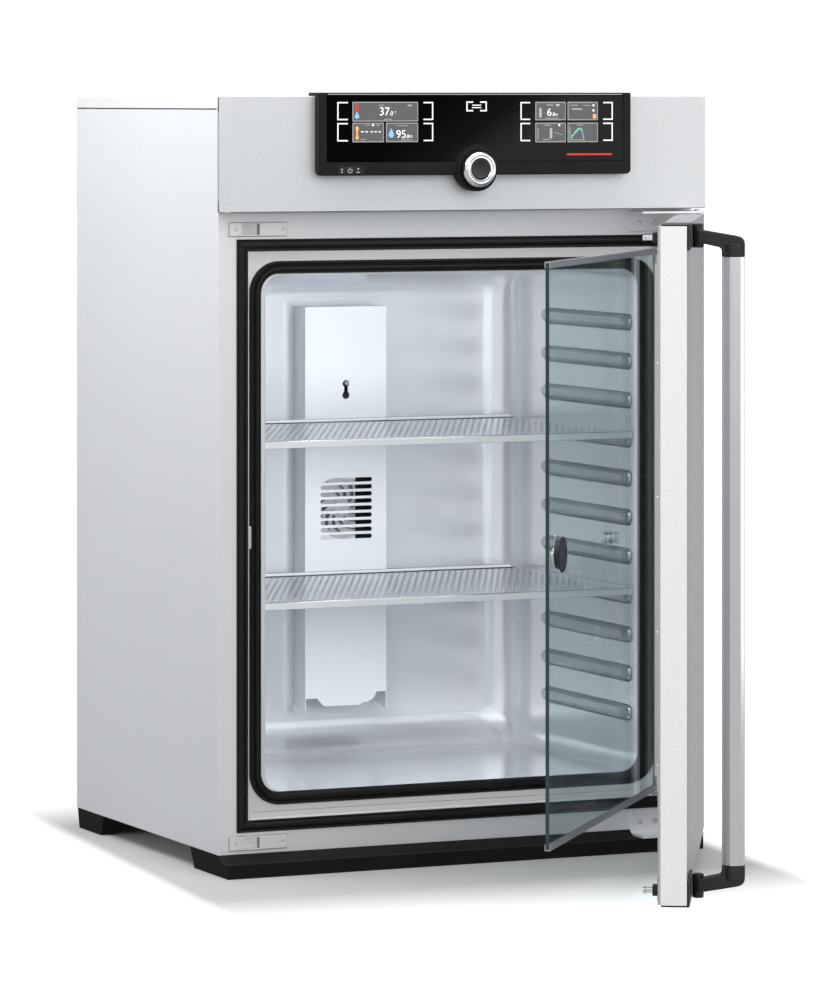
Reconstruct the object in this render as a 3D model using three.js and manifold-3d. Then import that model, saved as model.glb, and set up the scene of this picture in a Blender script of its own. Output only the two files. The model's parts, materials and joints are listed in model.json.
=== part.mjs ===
// Laboratory incubator: insulated stainless cabinet with an inner glass door and
// an insulated outer door, both standing open in the rest position.
// Millimetres. +X right, +Y to the back, +Z up. The origin is on the floor, under
// the middle of the cabinet's front frame plane (y = 0).
import * as THREE from 'three';
import { mergeVertices } from 'three/addons/utils/BufferGeometryUtils.js';
import Module from 'manifold-3d';

const wasm = await Module();
wasm.setup();

// ---------------------------------------------------------------- dimensions
// Entries with halfWidth, bottom and top are rectangles centred on x = 0.
const SHEET = 2;             // casing sheet
const SHEET_GAP = 0.3;       // clearance between casing sheets

const cabinet = { halfWidth: 719 / 2, bottom: 28, top: 1049, rear: 526 };
const LID_BOTTOM = 1031.5;   // top edge of the side panels
const serviceBox = { halfWidth: 322, bottom: 70, top: 985, rear: cabinet.rear + 24 };
const header = { halfWidth: cabinet.halfWidth, bottom: 893, top: cabinet.top, front: -40.6 };

const chamber = {
  halfWidth: 281, bottom: 106.5, top: 806.5,
  front: 25.5,               // start of the straight walls
  rear: 422,
  corner: 26,                // corner radius of the opening
  fillet: 30,                // rear edges
  flange: 18,                // front face of the flange round the opening
};
const recess = { halfWidth: 316.2, bottom: 73.6, top: 839.4 };  // takes the glass door
const RECESS_WALL = 1.5;

// pressed shelf beads on the side walls
const bead = { count: 11, highest: 742.7, pitch: 54.75, height: 20.8, depth: 8, y: [38, 307] };
const beadTop = (i) => bead.highest - i * bead.pitch;

const door = {
  halfWidth: 358.5, bottom: 29.6, top: 885.4,
  front: header.front,       // front, panRear and rear are for the closed door
  panRear: -7.2,
  rear: -4,
  axisX: 352.2, axisY: -32.4, openAngle: 60.23,
};
const glass = {
  left: -310.7, right: 297.6, bottom: 79.2, top: 836.2, front: 4.3, rear: 9.3,
  axisX: 303.1, axisY: 6.8, openAngle: 49.67,
};

const handle = { x: -275, barrelY: -52, tubeY: -97, tubeRadius: 14.7, tubeTop: 844.7 };
const hook = { x: -312, y: -14, upper: 869.5, lower: 42.4 };
const HOOK_LEVELS = [hook.upper, hook.lower];
const latch = { x: -287, z: 458.5 };    // glass door latch
const knob = { z: 949.8, bossRadius: 29, bossFront: -58 };
const panel = { halfWidth: 235.5, bottom: 942, top: 1054.4, front: -55, windowRear: -53 };
const screenWindow = { halfWidth: 223.4, bottom: 960.2, top: 1050 };
const FAN_Z = 456;
const PROBE_Z = 627;
const port = { y: 103, z: 426 };        // access port in the right wall
const mains = { x: -225, z: 925 };
const gas = { x: -120, z: 925 };

// ---------------------------------------------------------------- materials
const standard = (settings) => new THREE.MeshStandardMaterial(settings);
const LINEN_STEEL = standard({ color: 0xd6d9db, roughness: 0.42, metalness: 0.85 });
const FRAME_STEEL = standard({ color: 0xe0dfe0, roughness: 0.34, metalness: 0.85 });
const LINER_STEEL = standard({ color: 0xdde3ea, roughness: 0.28, metalness: 0.9 });
const CHROME = standard({ color: 0xe6e8ea, roughness: 0.12, metalness: 1 });
const BLACK = standard({ color: 0x17181a, roughness: 0.5, metalness: 0 });
const GLOSS = standard({ color: 0x0b0c0e, roughness: 0.08, metalness: 0 });
const RUBBER = standard({ color: 0x101112, roughness: 0.62, metalness: 0 });
const ALUMINIUM = standard({ color: 0xc9cace, roughness: 0.35, metalness: 0.9 });
const CLEAR_GLASS = standard({
  color: 0x9db8bd, roughness: 0.03, metalness: 0, transparent: true, opacity: 0.35,
});
const WOOL = standard({ color: 0xd8cfa8, roughness: 0.95, metalness: 0 });
const FOIL = standard({ color: 0xc77b3a, roughness: 0.4, metalness: 0.3 });
const BOARD = standard({ color: 0x1f6b3f, roughness: 0.6, metalness: 0 });

// ---------------------------------------------------------------- solids
const rad = THREE.MathUtils.degToRad;

function toSolid(shape) {
  if (!shape.isBufferGeometry) return shape;
  // without normals and uvs the seams weld into a closed mesh
  shape.deleteAttribute('normal');
  shape.deleteAttribute('uv');
  const merged = mergeVertices(shape, 1e-4);
  const index = merged.index.array;
  const triangles = [];
  for (let i = 0; i < index.length; i += 3) {
    const corners = index.slice(i, i + 3);
    if (new Set(corners).size === 3) triangles.push(...corners);
  }
  return new wasm.Manifold(new wasm.Mesh({
    numProp: 3,
    vertProperties: new Float32Array(merged.getAttribute('position').array),
    triVerts: new Uint32Array(triangles),
  }));
}
function join(first, ...rest) {
  return rest.reduce((sum, shape) => sum.add(toSolid(shape)), toSolid(first));
}
function cut(first, ...rest) {
  return rest.reduce((left, shape) => left.subtract(toSolid(shape)), toSolid(first));
}

const root = new THREE.Group();

// Shapes are given in cabinet coordinates, as with the doors closed.
function part(name, shape, material, parent = root) {
  const { vertProperties, triVerts } = toSolid(shape).getMesh();
  const geometry = new THREE.BufferGeometry();
  geometry.setAttribute('position',
    new THREE.BufferAttribute(new Float32Array(vertProperties), 3));
  geometry.setIndex(new THREE.BufferAttribute(new Uint32Array(triVerts), 1));
  geometry.computeVertexNormals();
  const { x, y, z } = parent.position;
  geometry.translate(-x, -y, -z);
  const mesh = new THREE.Mesh(geometry, material.clone());
  mesh.name = name;
  parent.add(mesh);
}

// group that turns about the upright hinge axis of a door
function hingedGroup({ axisX, axisY, openAngle }) {
  const group = new THREE.Group();
  group.position.set(axisX, axisY, 0);
  group.rotation.z = rad(openAngle);
  root.add(group);
  return group;
}

// ---------------------------------------------------------------- shapes
// Ranges are [from, to] pairs.
const around = (centre, half) => [centre - half, centre + half];
const sym = (half) => [-half, half];

function box([x0, x1], [y0, y1], [z0, z1]) {
  return new THREE.BoxGeometry(x1 - x0, y1 - y0, z1 - z0)
    .translate((x0 + x1) / 2, (y0 + y1) / 2, (z0 + z1) / 2);
}
function grow({ halfWidth, bottom, top }, offset) {
  return { halfWidth: halfWidth + offset, bottom: bottom - offset, top: top + offset };
}
const slab = (rect, yRange) => box(sym(rect.halfWidth), yRange, [rect.bottom, rect.top]);

// turn a shape's own x, y, z onto Y, Z, X, and onto Z, X, Y
const TO_YZX = new THREE.Matrix4().set(0, 0, 1, 0, 1, 0, 0, 0, 0, 1, 0, 0, 0, 0, 0, 1);
const TO_ZXY = TO_YZX.clone().transpose();

function cylX(y, z, radius, [x0, x1], segments = 24) {
  return new THREE.CylinderGeometry(radius, radius, x1 - x0, segments)
    .applyMatrix4(TO_ZXY).translate((x0 + x1) / 2, y, z);
}
function cylY(x, z, radius, [y0, y1], segments = 24) {
  return new THREE.CylinderGeometry(radius, radius, y1 - y0, segments)
    .translate(x, (y0 + y1) / 2, z);
}
function cylZ(x, y, radius, [z0, z1], segments = 24) {
  return new THREE.CylinderGeometry(radius, radius, z1 - z0, segments)
    .rotateX(Math.PI / 2).translate(x, y, (z0 + z1) / 2);
}
// body turned from (radius, height) points, standing along its own y
function lathe(points, segments) {
  return new THREE.LatheGeometry(points.map((p) => new THREE.Vector2(...p)), segments);
}
// profile drawn in (y, z), running along x
function alongX(points, [x0, x1]) {
  const shape = new THREE.Shape(points.map((p) => new THREE.Vector2(...p)));
  return new THREE.ExtrudeGeometry(shape, { depth: x1 - x0, bevelEnabled: false })
    .applyMatrix4(TO_YZX).translate(x0, 0, 0);
}
// outline drawn in (x, z), running along y
function alongY(shape, [y0, y1], curveSegments) {
  return new THREE.ExtrudeGeometry(shape, { depth: y1 - y0, bevelEnabled: false, curveSegments })
    .rotateX(Math.PI / 2).translate(0, y1, 0);
}
function roundRect({ halfWidth, bottom, top }, radius, target = new THREE.Shape()) {
  const x = halfWidth - radius;
  const low = bottom + radius;
  const high = top - radius;
  target.moveTo(-x, bottom);
  target.lineTo(x, bottom);
  target.absarc(x, low, radius, -Math.PI / 2, 0, false);
  target.lineTo(halfWidth, high);
  target.absarc(x, high, radius, 0, Math.PI / 2, false);
  target.lineTo(-x, top);
  target.absarc(-x, high, radius, Math.PI / 2, Math.PI, false);
  target.lineTo(-halfWidth, low);
  target.absarc(-x, low, radius, Math.PI, 1.5 * Math.PI, false);
  return target;
}
function ring(rect, radius, wall, yRange) {
  const shape = roundRect(rect, radius);
  const holeRadius = Math.max(radius - wall, 0.5);
  shape.holes.push(roundRect(grow(rect, -wall), holeRadius, new THREE.Path()));
  return alongY(shape, yRange, 6);
}
// rounded rectangle as a loop of points for loft
function rectLoop(y, { halfWidth, bottom, top }, radius) {
  const steps = 4;
  const x = halfWidth - radius;
  const corners = [
    [x, bottom + radius, -90], [x, top - radius, 0],
    [-x, top - radius, 90], [-x, bottom + radius, 180],
  ];
  const points = [];
  for (const [centreX, centreZ, start] of corners) {
    for (let i = 0; i <= steps; i++) {
      const angle = rad(start + (90 * i) / steps);
      points.push([centreX + radius * Math.cos(angle), y, centreZ + radius * Math.sin(angle)]);
    }
  }
  return points;
}
// closed body through a row of equal loops, capped at both ends
function loft(loops) {
  const count = loops[0].length;
  const points = loops.flat().map((p) => new THREE.Vector3(...p));
  const faces = [];
  for (let k = 0; k + 1 < loops.length; k++) {
    for (let i = 0; i < count; i++) {
      const a = k * count + i;
      const b = k * count + ((i + 1) % count);
      faces.push([a, b, b + count], [a, b + count, a + count]);
    }
  }
  const last = (loops.length - 1) * count;
  for (let i = 1; i + 1 < count; i++) {
    faces.push([0, i + 1, i], [last, last + i, last + i + 1]);
  }
  // a negative volume means that the faces look inwards
  const volume = faces.reduce(
    (sum, [a, b, c]) => sum + points[a].dot(points[b].clone().cross(points[c])), 0);
  if (volume < 0) faces.forEach((face) => face.reverse());
  return new THREE.BufferGeometry().setFromPoints(points).setIndex(faces.flat());
}

// ---------------------------------------------------------------- casing
const insideX = sym(cabinet.halfWidth - SHEET - SHEET_GAP);
{
  const { halfWidth, bottom, rear, top } = cabinet;
  const side = (xRange) => box(xRange, [SHEET, rear], [bottom, LID_BOTTOM]);
  part('left_side_panel', side([-halfWidth, -halfWidth + SHEET]), LINEN_STEEL);
  part('right_side_panel', side([halfWidth - SHEET, halfWidth]), LINEN_STEEL);
  part('top_cover', cut(
    box(sym(halfWidth), [0, rear], [LID_BOTTOM + 0.5, top]),
    box(sym(halfWidth - SHEET), [SHEET, rear - SHEET], [LID_BOTTOM - 5, top - SHEET]),
  ), LINEN_STEEL);
  part('base_panel',
    box(insideX, [SHEET, rear - SHEET - SHEET_GAP], [bottom, bottom + SHEET]), FRAME_STEEL);
}
// rear plate and service box with louvres and two inlet holes
{
  const { rear } = cabinet;
  const through = [rear + 10, serviceBox.rear + 5];
  const louvres = Array.from({ length: 8 }, (_, i) => {
    const z = 880 + i * 11;
    return box([60, 240], through, [z, z + 5]);
  });
  part('rear_panel', cut(
    join(
      box(insideX, [rear - SHEET, rear], [cabinet.bottom, LID_BOTTOM]),
      slab(serviceBox, [rear - 1, serviceBox.rear]),
    ),
    slab(grow(serviceBox, -SHEET), [rear - SHEET - 1, serviceBox.rear - SHEET]),
    ...louvres,
    box(around(mains.x, 27), through, around(mains.z, 20)),
    cylY(gas.x, gas.z, 8.5, through, 16),
  ), LINEN_STEEL);
}

// front frame: plate round a stepped recess, with two hook slots
const recessOuter = grow(recess, RECESS_WALL);
part('front_frame', cut(
  join(
    box(sym(cabinet.halfWidth), [0, SHEET], [cabinet.bottom, header.bottom]),
    slab(recessOuter, [0.5, chamber.flange]),
  ),
  slab(recess, [-5, chamber.flange + 5]),
  ...HOOK_LEVELS.map((z) => box([-336, -296], sym(5), around(z, 9.5))),
), FRAME_STEEL);

// header with the control panel opening; its bottom flange reaches over the frame
{
  const { halfWidth, bottom, front } = header;
  const shell = cut(
    slab(header, [front, -0.7]),
    slab(grow(header, -SHEET), [front + SHEET, 5]));
  const flange = box(sym(halfWidth - 1), [-10, SHEET], [bottom, bottom + SHEET]);
  part('header_housing', cut(
    join(shell, flange),
    box(sym(205), [front - 5, front + SHEET + 5], [968, 1040]),
  ), LINEN_STEEL);
}

// ---------------------------------------------------------------- chamber
// lofted shell: inner surface from back to front, flange, outer surface to the back
{
  const { halfWidth, rear, fillet, flange, corner } = chamber;
  const wall = 2;
  const wallLoop = (y, offset) =>
    rectLoop(y, grow(chamber, offset), Math.max(corner + offset, 2));
  const filletLoop = (degrees, offset) => {
    const radius = fillet + offset;
    const angle = rad(degrees);
    return wallLoop(
      rear - fillet + radius * Math.sin(angle), offset - radius * (1 - Math.cos(angle)));
  };
  const shell = loft([
    ...[90, 60, 30, 0].map((degrees) => filletLoop(degrees, 0)),
    wallLoop(chamber.front, 0),
    wallLoop(flange + 3.4, 1.2),
    wallLoop(flange, 4.5),
    rectLoop(flange, recessOuter, 1),
    rectLoop(flange + wall, recessOuter, 1),
    wallLoop(flange + wall, 6),
    wallLoop(flange + 5, 3),
    wallLoop(chamber.front + wall, wall),
    ...[0, 30, 60, 90].map((degrees) => filletLoop(degrees, wall)),
  ]);

  const beads = [];
  for (let i = 0; i < bead.count; i++) {
    const z1 = beadTop(i);
    const z0 = z1 - bead.height;
    const [y0, y1] = bead.y;
    for (const side of [-1, 1]) {
      const beadLoop = (inset, distance) => {
        const x = side * distance;
        const low = z0 + inset;
        const high = z1 - 0.4 * inset;
        return [
          [x, y0 + inset, low], [x, y1 - inset, low],
          [x, y1 - inset, high], [x, y0 + inset, high],
        ];
      };
      beads.push(loft([
        beadLoop(0, halfWidth + 1),
        beadLoop(1, halfWidth - 1.5),
        beadLoop(5, halfWidth - bead.depth),
      ]));
    }
  }
  const throughRear = [rear - 4, rear + 6];
  part('chamber_liner', cut(
    join(shell, ...beads),
    cylX(port.y, port.z, 9, around(halfWidth, 5)),
    cylY(0, FAN_Z, 20, throughRear),
    cylY(0, PROBE_Z, 3, throughRear, 12),
  ), LINER_STEEL);
}
part('chamber_heater', cut(
  ring(grow(chamber, 4.3), chamber.corner + 4, 1.8, [70, 385]),
  cylX(port.y, port.z, 12, [270, 300], 20),
), FOIL);
// block round the liner, with pockets for motor, upper hook, probe and port
{
  const throughRear = [420, 505];
  part('cabinet_insulation', cut(
    box(sym(354), [26, 500], [34, 866]),
    alongY(roundRect(grow(chamber, 7), chamber.corner + 6), [20, 428], 4),
    box(sym(52), throughRear, around(FAN_Z, 52)),
    box([-330, -290], [20, 60], [858, 870]),
    box(sym(10), throughRear, [615, 640]),
    cylX(port.y, port.z, 14, [280, 360], 20),
  ), WOOL);
}

const outerSeal = {
  halfWidth: 332.5, bottom: recess.bottom - 16.8, top: recess.top + 16.8,
};
part('outer_gasket', ring(outerSeal, 1.2, 16.2, [-3.6, 0]), RUBBER);
const chamberSeal = { halfWidth: 306.6, bottom: 89.6, top: 825.9 };
part('chamber_gasket', ring(chamberSeal, 44, 16.6, [9.8, chamber.flange]), RUBBER);
// angle on the left recess wall
{
  const z = [439, 469];
  part('glass_strike', join(
    box([-recess.halfWidth, -recess.halfWidth + 1.6], [0, 15], z),
    box([-recess.halfWidth, -311.3], [-1.2, 0], z),
  ), CHROME);
}

// fan cover: channel on the rear wall, open at the bottom, with slots before the fan
{
  const cover = { halfWidth: 64, top: 746.5, front: 382, sheet: 1.2 };
  const inside = cover.halfWidth - cover.sheet;
  const through = around(cover.front, 4);
  const keyTop = 634;         // the two round ends of the opening before the probe
  const keyBottom = 619;
  const slots = Array.from({ length: 9 }, (_, i) =>
    box(sym(38), through, around(498 - i * 10.2, 3)));
  part('fan_cover', cut(
    box(sym(cover.halfWidth), [cover.front, chamber.rear], [168.5, cover.top]),
    box(sym(inside), [cover.front + cover.sheet, chamber.rear + 5],
      [160, cover.top - cover.sheet]),
    ...slots,
    box([-46, 64.5], through, [160, 176]),
    cylY(0, keyTop, 5.2, through, 16),
    cylY(0, keyBottom, 5.2, through, 16),
    box(sym(2.6), through, [keyBottom, keyTop]),
  ), LINER_STEEL);
}
part('gas_probe', join(
  cylY(0, PROBE_Z, 2.6, [400, 445], 12),
  cylY(0, PROBE_Z, 7, [392, 404], 16),
  cylY(0, PROBE_Z, 9, [440, 470], 16),
), BLACK);
part('fan_motor', join(
  cylY(0, FAN_Z, 40, [434, 494]),
  cylY(0, FAN_Z, 12, [424.5, 436], 16),
), ALUMINIUM);

// port plug on the right wall
{
  // radius, distance from the wall into the chamber
  const plugProfile = [
    [0, 0], [8.8, 0], [8.8, 2.6], [6.4, 3.2], [6.4, 5.4],
    [8.4, 6], [8.4, 11], [7, 12.6], [0, 12.6],
  ];
  const intoChamber = new THREE.Matrix4().makeBasis(
    new THREE.Vector3(0, 0, 1), new THREE.Vector3(-1, 0, 0), new THREE.Vector3(0, -1, 0));
  const { halfWidth } = chamber;
  part('chamber_port_plug', join(
    lathe(plugProfile, 24).applyMatrix4(intoChamber).translate(halfWidth - 0.2, port.y, port.z),
    cylX(port.y, port.z, 7, [halfWidth - 2, halfWidth + 30]),
  ), CHROME);
}

// ---------------------------------------------------------------- frame fittings
// plate round a hook slot, with two screw holes
function keeper(z) {
  const through = [-5, 3];
  return cut(
    box([-343.4, -259.5], [-2, 0], around(z, 9)),
    box([-325.8, -299], through, around(z, 7.6)),
    cylY(-334.7, z, 2.2, through, 12),
    cylY(-266, z, 2.2, through, 12),
  );
}
part('upper_keeper', keeper(hook.upper), FRAME_STEEL);
part('lower_keeper', keeper(hook.lower), FRAME_STEEL);

// plate on the frame, arm forward to the hinge axis, boss on the axis
function hingeBracket(plateZ, armZ, bossZ) {
  return join(
    box([262, 345], [-3, 0], plateZ),
    box([262, 359], [-40, 0], armZ),
    cylZ(door.axisX, door.axisY, 6.4, bossZ, 20),
  );
}
part('upper_hinge_bracket', hingeBracket([861, 889.3], [886, 889.3], [886, 891.6]), CHROME);
part('lower_hinge_bracket', hingeBracket([20, 52.5], [20, 24], [20, 28.6]), CHROME);
const doorPin = (zRange) => cylZ(door.axisX, door.axisY, 3.4, zRange, 20);
part('upper_door_pin', doorPin([862, 886]), CHROME);
part('lower_door_pin', doorPin([28.6, 52]), CHROME);

// glass door pivots: a block on the recess wall with a pin
function glassPivot(blockZ, pinZ) {
  return join(
    box([297, recess.halfWidth], [2.3, 11.3], blockZ),
    cylZ(glass.axisX, glass.axisY, 1.9, pinZ, 16),
  );
}
part('glass_upper_pivot', glassPivot([837.6, recess.top], [826, 838]), CHROME);
part('glass_lower_pivot', glassPivot([recess.bottom, 77.4], [77, 90]), CHROME);

// ---------------------------------------------------------------- control panel
part('control_bezel', cut(
  join(
    cut(
      join(
        slab(panel, [panel.front, header.front]),
        box(sym(panel.halfWidth), [header.front, -18.6], [header.top, panel.top]),
      ),
      slab(screenWindow, [panel.front - 1, panel.windowRear]),
      box(sym(214.5), [-54, -30], [972, 1044.5]),
    ),
    cylY(0, knob.z, knob.bossRadius, [knob.bossFront, header.front], 36),
  ),
  cylY(0, knob.z, 9, [-60, -44]),
), GLOSS);
part('screen_glass', cut(
  slab(grow(screenWindow, -0.4), [panel.front, panel.windowRear]),
  cylY(0, knob.z, knob.bossRadius + 0.6, [-60, -50], 36),
), GLOSS);
part('display_module', cut(
  box(sym(213), [-52.8, -44], [974, 1043]),
  cylY(0, knob.z, knob.bossRadius + 1.5, [-60, -40], 36),
), GLOSS);
part('control_board', box(sym(190), [-34, -30], [905, 1035]), BOARD);
{
  // radius, distance forward from the ring's rear face
  const ringProfile = [
    [14.3, 0], [21.5, 0], [24.4, 2], [24.6, 7],
    [21.8, 10.2], [17.5, 10.6], [14.3, 9.5], [14.3, 0],
  ];
  const ringRear = knob.bossFront - 0.3;
  part('knob_ring',
    lathe(ringProfile, 36)
      .applyMatrix4(new THREE.Matrix4().makeScale(1, -1, -1)).translate(0, ringRear, knob.z),
    CHROME);
  part('knob_button', join(
    cylY(0, knob.z, 13.9, [-67, -60.3], 32),
    cylY(0, knob.z, 4, [-61, -48], 16),
  ), BLACK);
}

// ---------------------------------------------------------------- services
part('power_supply', box([-230, -60], [180, 420], [876, 960]), ALUMINIUM);
part('gas_valve', join(
  box([20, 80], [330, 400], [872, 915]),
  cylZ(50, 365, 14, [915, 950], 20),
), ALUMINIUM);
part('mains_inlet', join(
  box(around(mains.x, 25), [540, 556], around(mains.z, 18)),
  box(around(mains.x, 31), [serviceBox.rear, serviceBox.rear + 3], around(mains.z, 24)),
), BLACK);
part('gas_inlet', join(
  cylY(gas.x, gas.z, 8, [530, serviceBox.rear], 16),
  cylY(gas.x, gas.z, 12, [serviceBox.rear, 555], 16),
  cylY(gas.x, gas.z, 5, [555, 575], 16),
), CHROME);

// ---------------------------------------------------------------- feet
{
  const { halfWidth, bottom } = cabinet;
  // (y, z) section; only the rear edge differs between feet and plinth
  const section = (rearTop, rearFloor) => [
    [rearTop, bottom], [rearFloor, 0], [-35, 0], [-35, 19], [-17, 19], [-1, bottom],
  ];
  const footSection = section(99, 84);
  part('front_left_foot', alongX(footSection, [-halfWidth, -222.2]), BLACK);
  part('front_plinth', alongX(section(40, 30), [-221.9, 212.9]), BLACK);
  // notched for the lower hinge bracket
  part('front_right_foot', cut(
    alongX(footSection, [213.2, halfWidth]),
    box([261, 362], [-45, 0.4], [19.4, 40]),
  ), BLACK);
  part('rear_foot_bar', cut(
    alongX([[422, bottom], [430, 0], [515, 0], [522, bottom]], sym(halfWidth)),
    box(sym(337), [400, 540], [-5, 8]),
  ), BLACK);
}

// ---------------------------------------------------------------- outer door
const doorGroup = hingedGroup(door);
const onDoor = (name, shape, material) => part(name, shape, material, doorGroup);
{
  const pinHole = (z) => cylZ(door.axisX, door.axisY, 4.4, around(z, 5), 20);
  onDoor('door_outer_panel', cut(
    slab(door, [door.front, door.panRear]),
    slab(grow(door, -1.5), [door.front + 1.5, door.panRear + 5]),
    pinHole(door.bottom),
    pinHole(door.top),
  ), LINEN_STEEL);
}
// inner panel with a round cup that clears the glass door latch
onDoor('door_inner_panel', cut(
  join(
    slab(grow(door, -0.6), [door.panRear + 0.2, door.rear]),
    cylY(latch.x, latch.z, 33.5, [-17, door.rear], 36),
  ),
  cylY(latch.x, latch.z, 32, [-15.5, 0], 36),
  ...HOOK_LEVELS.map((z) => box([-328, -296], [-12, 0], around(z, 8.5))),
), LINER_STEEL);
onDoor('door_insulation', cut(
  box([-356.5, 330], [-38.8, -9.2], [door.bottom + 2.2, door.top - 2.2]),
  cylY(latch.x, latch.z, 35, [-19, 0]),
  ...HOOK_LEVELS.map((z) => box([-334, -290], [-32, 0], around(z, 16))),
), WOOL);
onDoor('door_heater', box([-250, 320], [-8.8, -7.4], [60, 855]), FOIL);

// angles over the corners on the handle side
function cornerCap(faceZ, edgeZ) {
  const x = [-357.9, -248];
  return join(
    box(x, [-44, door.front - 0.3], faceZ),
    box(x, [-44, -8], edgeZ),
  );
}
onDoor('upper_corner_cap', cornerCap([854.5, 887.4], [door.top + 0.3, 887.4]), BLACK);
onDoor('lower_corner_cap', cornerCap([27.5, 59.5], [27.5, door.bottom - 0.3]), BLACK);

// handle: tube on two arms with upright barrels
{
  const { x, barrelY, tubeY, tubeRadius, tubeTop } = handle;
  // (y, z) section of the upper arm
  const armProfile = [
    [-53, 879], [-59, 879], [-108, 870.5], [-111.7, 866.5], [-111.7, 845],
    [-82.3, 845], [-82.3, 853.5], [-77.5, 856.5], [-59, 861], [-53, 861],
  ];
  const upperArm = join(
    cylZ(x, barrelY, 7.3, [856, 887]),
    alongX(armProfile, around(x, 11)),
    cylZ(x, tubeY, 14.9, [845, 866], 32),
  );
  // the handle is symmetric about the door's mid height
  const mirrorSum = door.bottom + door.top;
  onDoor('upper_handle_arm', upperArm, BLACK);
  onDoor('lower_handle_arm', upperArm.mirror([0, 0, 1]).translate([0, 0, mirrorSum]), BLACK);

  const bore = 12.6;
  const tubeBottom = mirrorSum - tubeTop;
  const tube = lathe([
    [bore, tubeBottom], [tubeRadius, tubeBottom],
    [tubeRadius, tubeTop], [bore, tubeTop], [bore, tubeBottom],
  ], 32);
  onDoor('handle_tube', tube.rotateX(Math.PI / 2).translate(x, tubeY, 0), ALUMINIUM);
}

// barrel, shank to the back and a tip that hooks to the left
function latchHook(z) {
  const { x, y } = hook;
  return join(
    cylZ(x, y, 6, around(z, 8), 20),
    box(around(x, 6.5), [y, 4.8], around(z, 6.3)),
    box(around(x, 5), [4, 16.7], around(z, 3.2)),
    box([x - 10, x + 5], [12.7, 16.7], around(z, 3.2)),
  );
}
onDoor('upper_latch_hook', latchHook(hook.upper), CHROME);
onDoor('lower_latch_hook', latchHook(hook.lower), CHROME);

// ---------------------------------------------------------------- glass door
const glassGroup = hingedGroup(glass);
const onGlass = (name, shape, material) => part(name, shape, material, glassGroup);

onGlass('glass_pane', cut(
  box([glass.left, glass.right], [glass.front, glass.rear],
    [glass.bottom + 1.6, glass.top - 1.6]),
  cylY(latch.x, latch.z, 4.4, [0, 15], 20),
), CLEAR_GLASS);

// channel over the pane edge, with a hinge barrel bored for the pivot pin
function rail([z0, z1], channelZ, barrelZ) {
  const { left, right, front, rear, axisX, axisY } = glass;
  const channelRight = right + 0.3;
  return cut(
    join(
      box([left, 308], [front - 1.2, rear + 1.2], [z0, z1]),
      cylZ(axisX, axisY, 4.4, barrelZ, 20),
      box([channelRight, axisX], [front + 0.2, rear - 0.2], barrelZ),
    ),
    box([left - 5, channelRight], [front - 0.1, rear + 0.1], channelZ),
    cylZ(axisX, axisY, 2.5, [z0 - 20, z1 + 20], 16),
  );
}
onGlass('glass_top_rail',
  rail([glass.top - 8, glass.top], [827, glass.top - 1.4], [815.5, glass.top]), CHROME);
onGlass('glass_bottom_rail',
  rail([glass.bottom, glass.bottom + 8], [glass.bottom + 1.4, 88], [glass.bottom, 99.5]),
  CHROME);

// the knob is in front of the pane, the tongue's spindle runs through it
onGlass('glass_latch_knob', join(
  cylY(latch.x, latch.z, 18.8, [-6.5, 0.2], 32),
  cylY(latch.x, latch.z, 23.3, [-8.3, -6.4], 36),
), BLACK);
onGlass('glass_latch_tongue', join(
  cylY(latch.x, latch.z, 9.4, [0.4, 4.1]),
  cylY(latch.x, latch.z, 3.8, [4, 9.6], 16),
  box(around(latch.x, 4.5), [0.9, 3], [latch.z, latch.z + 25.6]),
), CHROME);

// ---------------------------------------------------------------- shelves
// sheet with a front edge turned down and a rear edge turned up
function shelf(beadIndex) {
  const bottom = beadTop(beadIndex) + 0.75;
  const top = bottom + 1.5;
  const x = sym(279);
  return join(
    box(x, [33, 379], [bottom, top]),
    box(x, [31.5, 33], [bottom - 8.7, top]),
    box(sym(262), [377.6, 379], [bottom + 0.7, bottom + 6.9]),
  );
}
part('upper_shelf', shelf(3), LINER_STEEL);
part('lower_shelf', shelf(7), LINER_STEEL);

// ---------------------------------------------------------------- fan impeller
{
  const bladeCount = 7;
  const blades = Array.from({ length: bladeCount }, (_, i) =>
    new THREE.BoxGeometry(3, 14, 34)
      .translate(0, 0, 28)
      .rotateZ(rad(32))
      .rotateY(rad((360 / bladeCount) * i))
      .translate(0, 400, FAN_Z));
  part('fan_impeller', join(
    cylY(0, FAN_Z, 14, [392, 408], 20),
    cylY(0, FAN_Z, 4, [408, 424.2], 12),
    ...blades,
  ), ALUMINIUM);
}

export default root;
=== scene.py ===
"""Looks of the laboratory incubator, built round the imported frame. Lengths in the code are millimetres unless said otherwise."""
import json
import math

import bmesh
import bpy
from mathutils import Matrix, Vector


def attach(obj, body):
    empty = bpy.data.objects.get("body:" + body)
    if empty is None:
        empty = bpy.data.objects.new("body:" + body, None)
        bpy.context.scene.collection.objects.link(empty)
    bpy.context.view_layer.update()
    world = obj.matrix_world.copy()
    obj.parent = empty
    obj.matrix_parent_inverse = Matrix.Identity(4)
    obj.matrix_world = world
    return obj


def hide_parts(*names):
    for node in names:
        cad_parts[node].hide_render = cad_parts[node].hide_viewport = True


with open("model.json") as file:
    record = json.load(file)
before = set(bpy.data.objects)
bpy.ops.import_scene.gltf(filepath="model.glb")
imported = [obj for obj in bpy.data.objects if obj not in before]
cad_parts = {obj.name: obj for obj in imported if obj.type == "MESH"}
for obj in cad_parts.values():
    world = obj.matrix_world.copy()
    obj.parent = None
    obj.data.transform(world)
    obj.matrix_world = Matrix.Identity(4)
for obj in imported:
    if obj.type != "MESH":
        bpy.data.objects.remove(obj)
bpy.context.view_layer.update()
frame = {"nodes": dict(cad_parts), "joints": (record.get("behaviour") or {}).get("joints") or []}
MM = 0.001
NODES = frame["nodes"]
JOINT = {j["name"]: j for j in frame["joints"]}
IDENT = Matrix.Identity(4)


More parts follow.
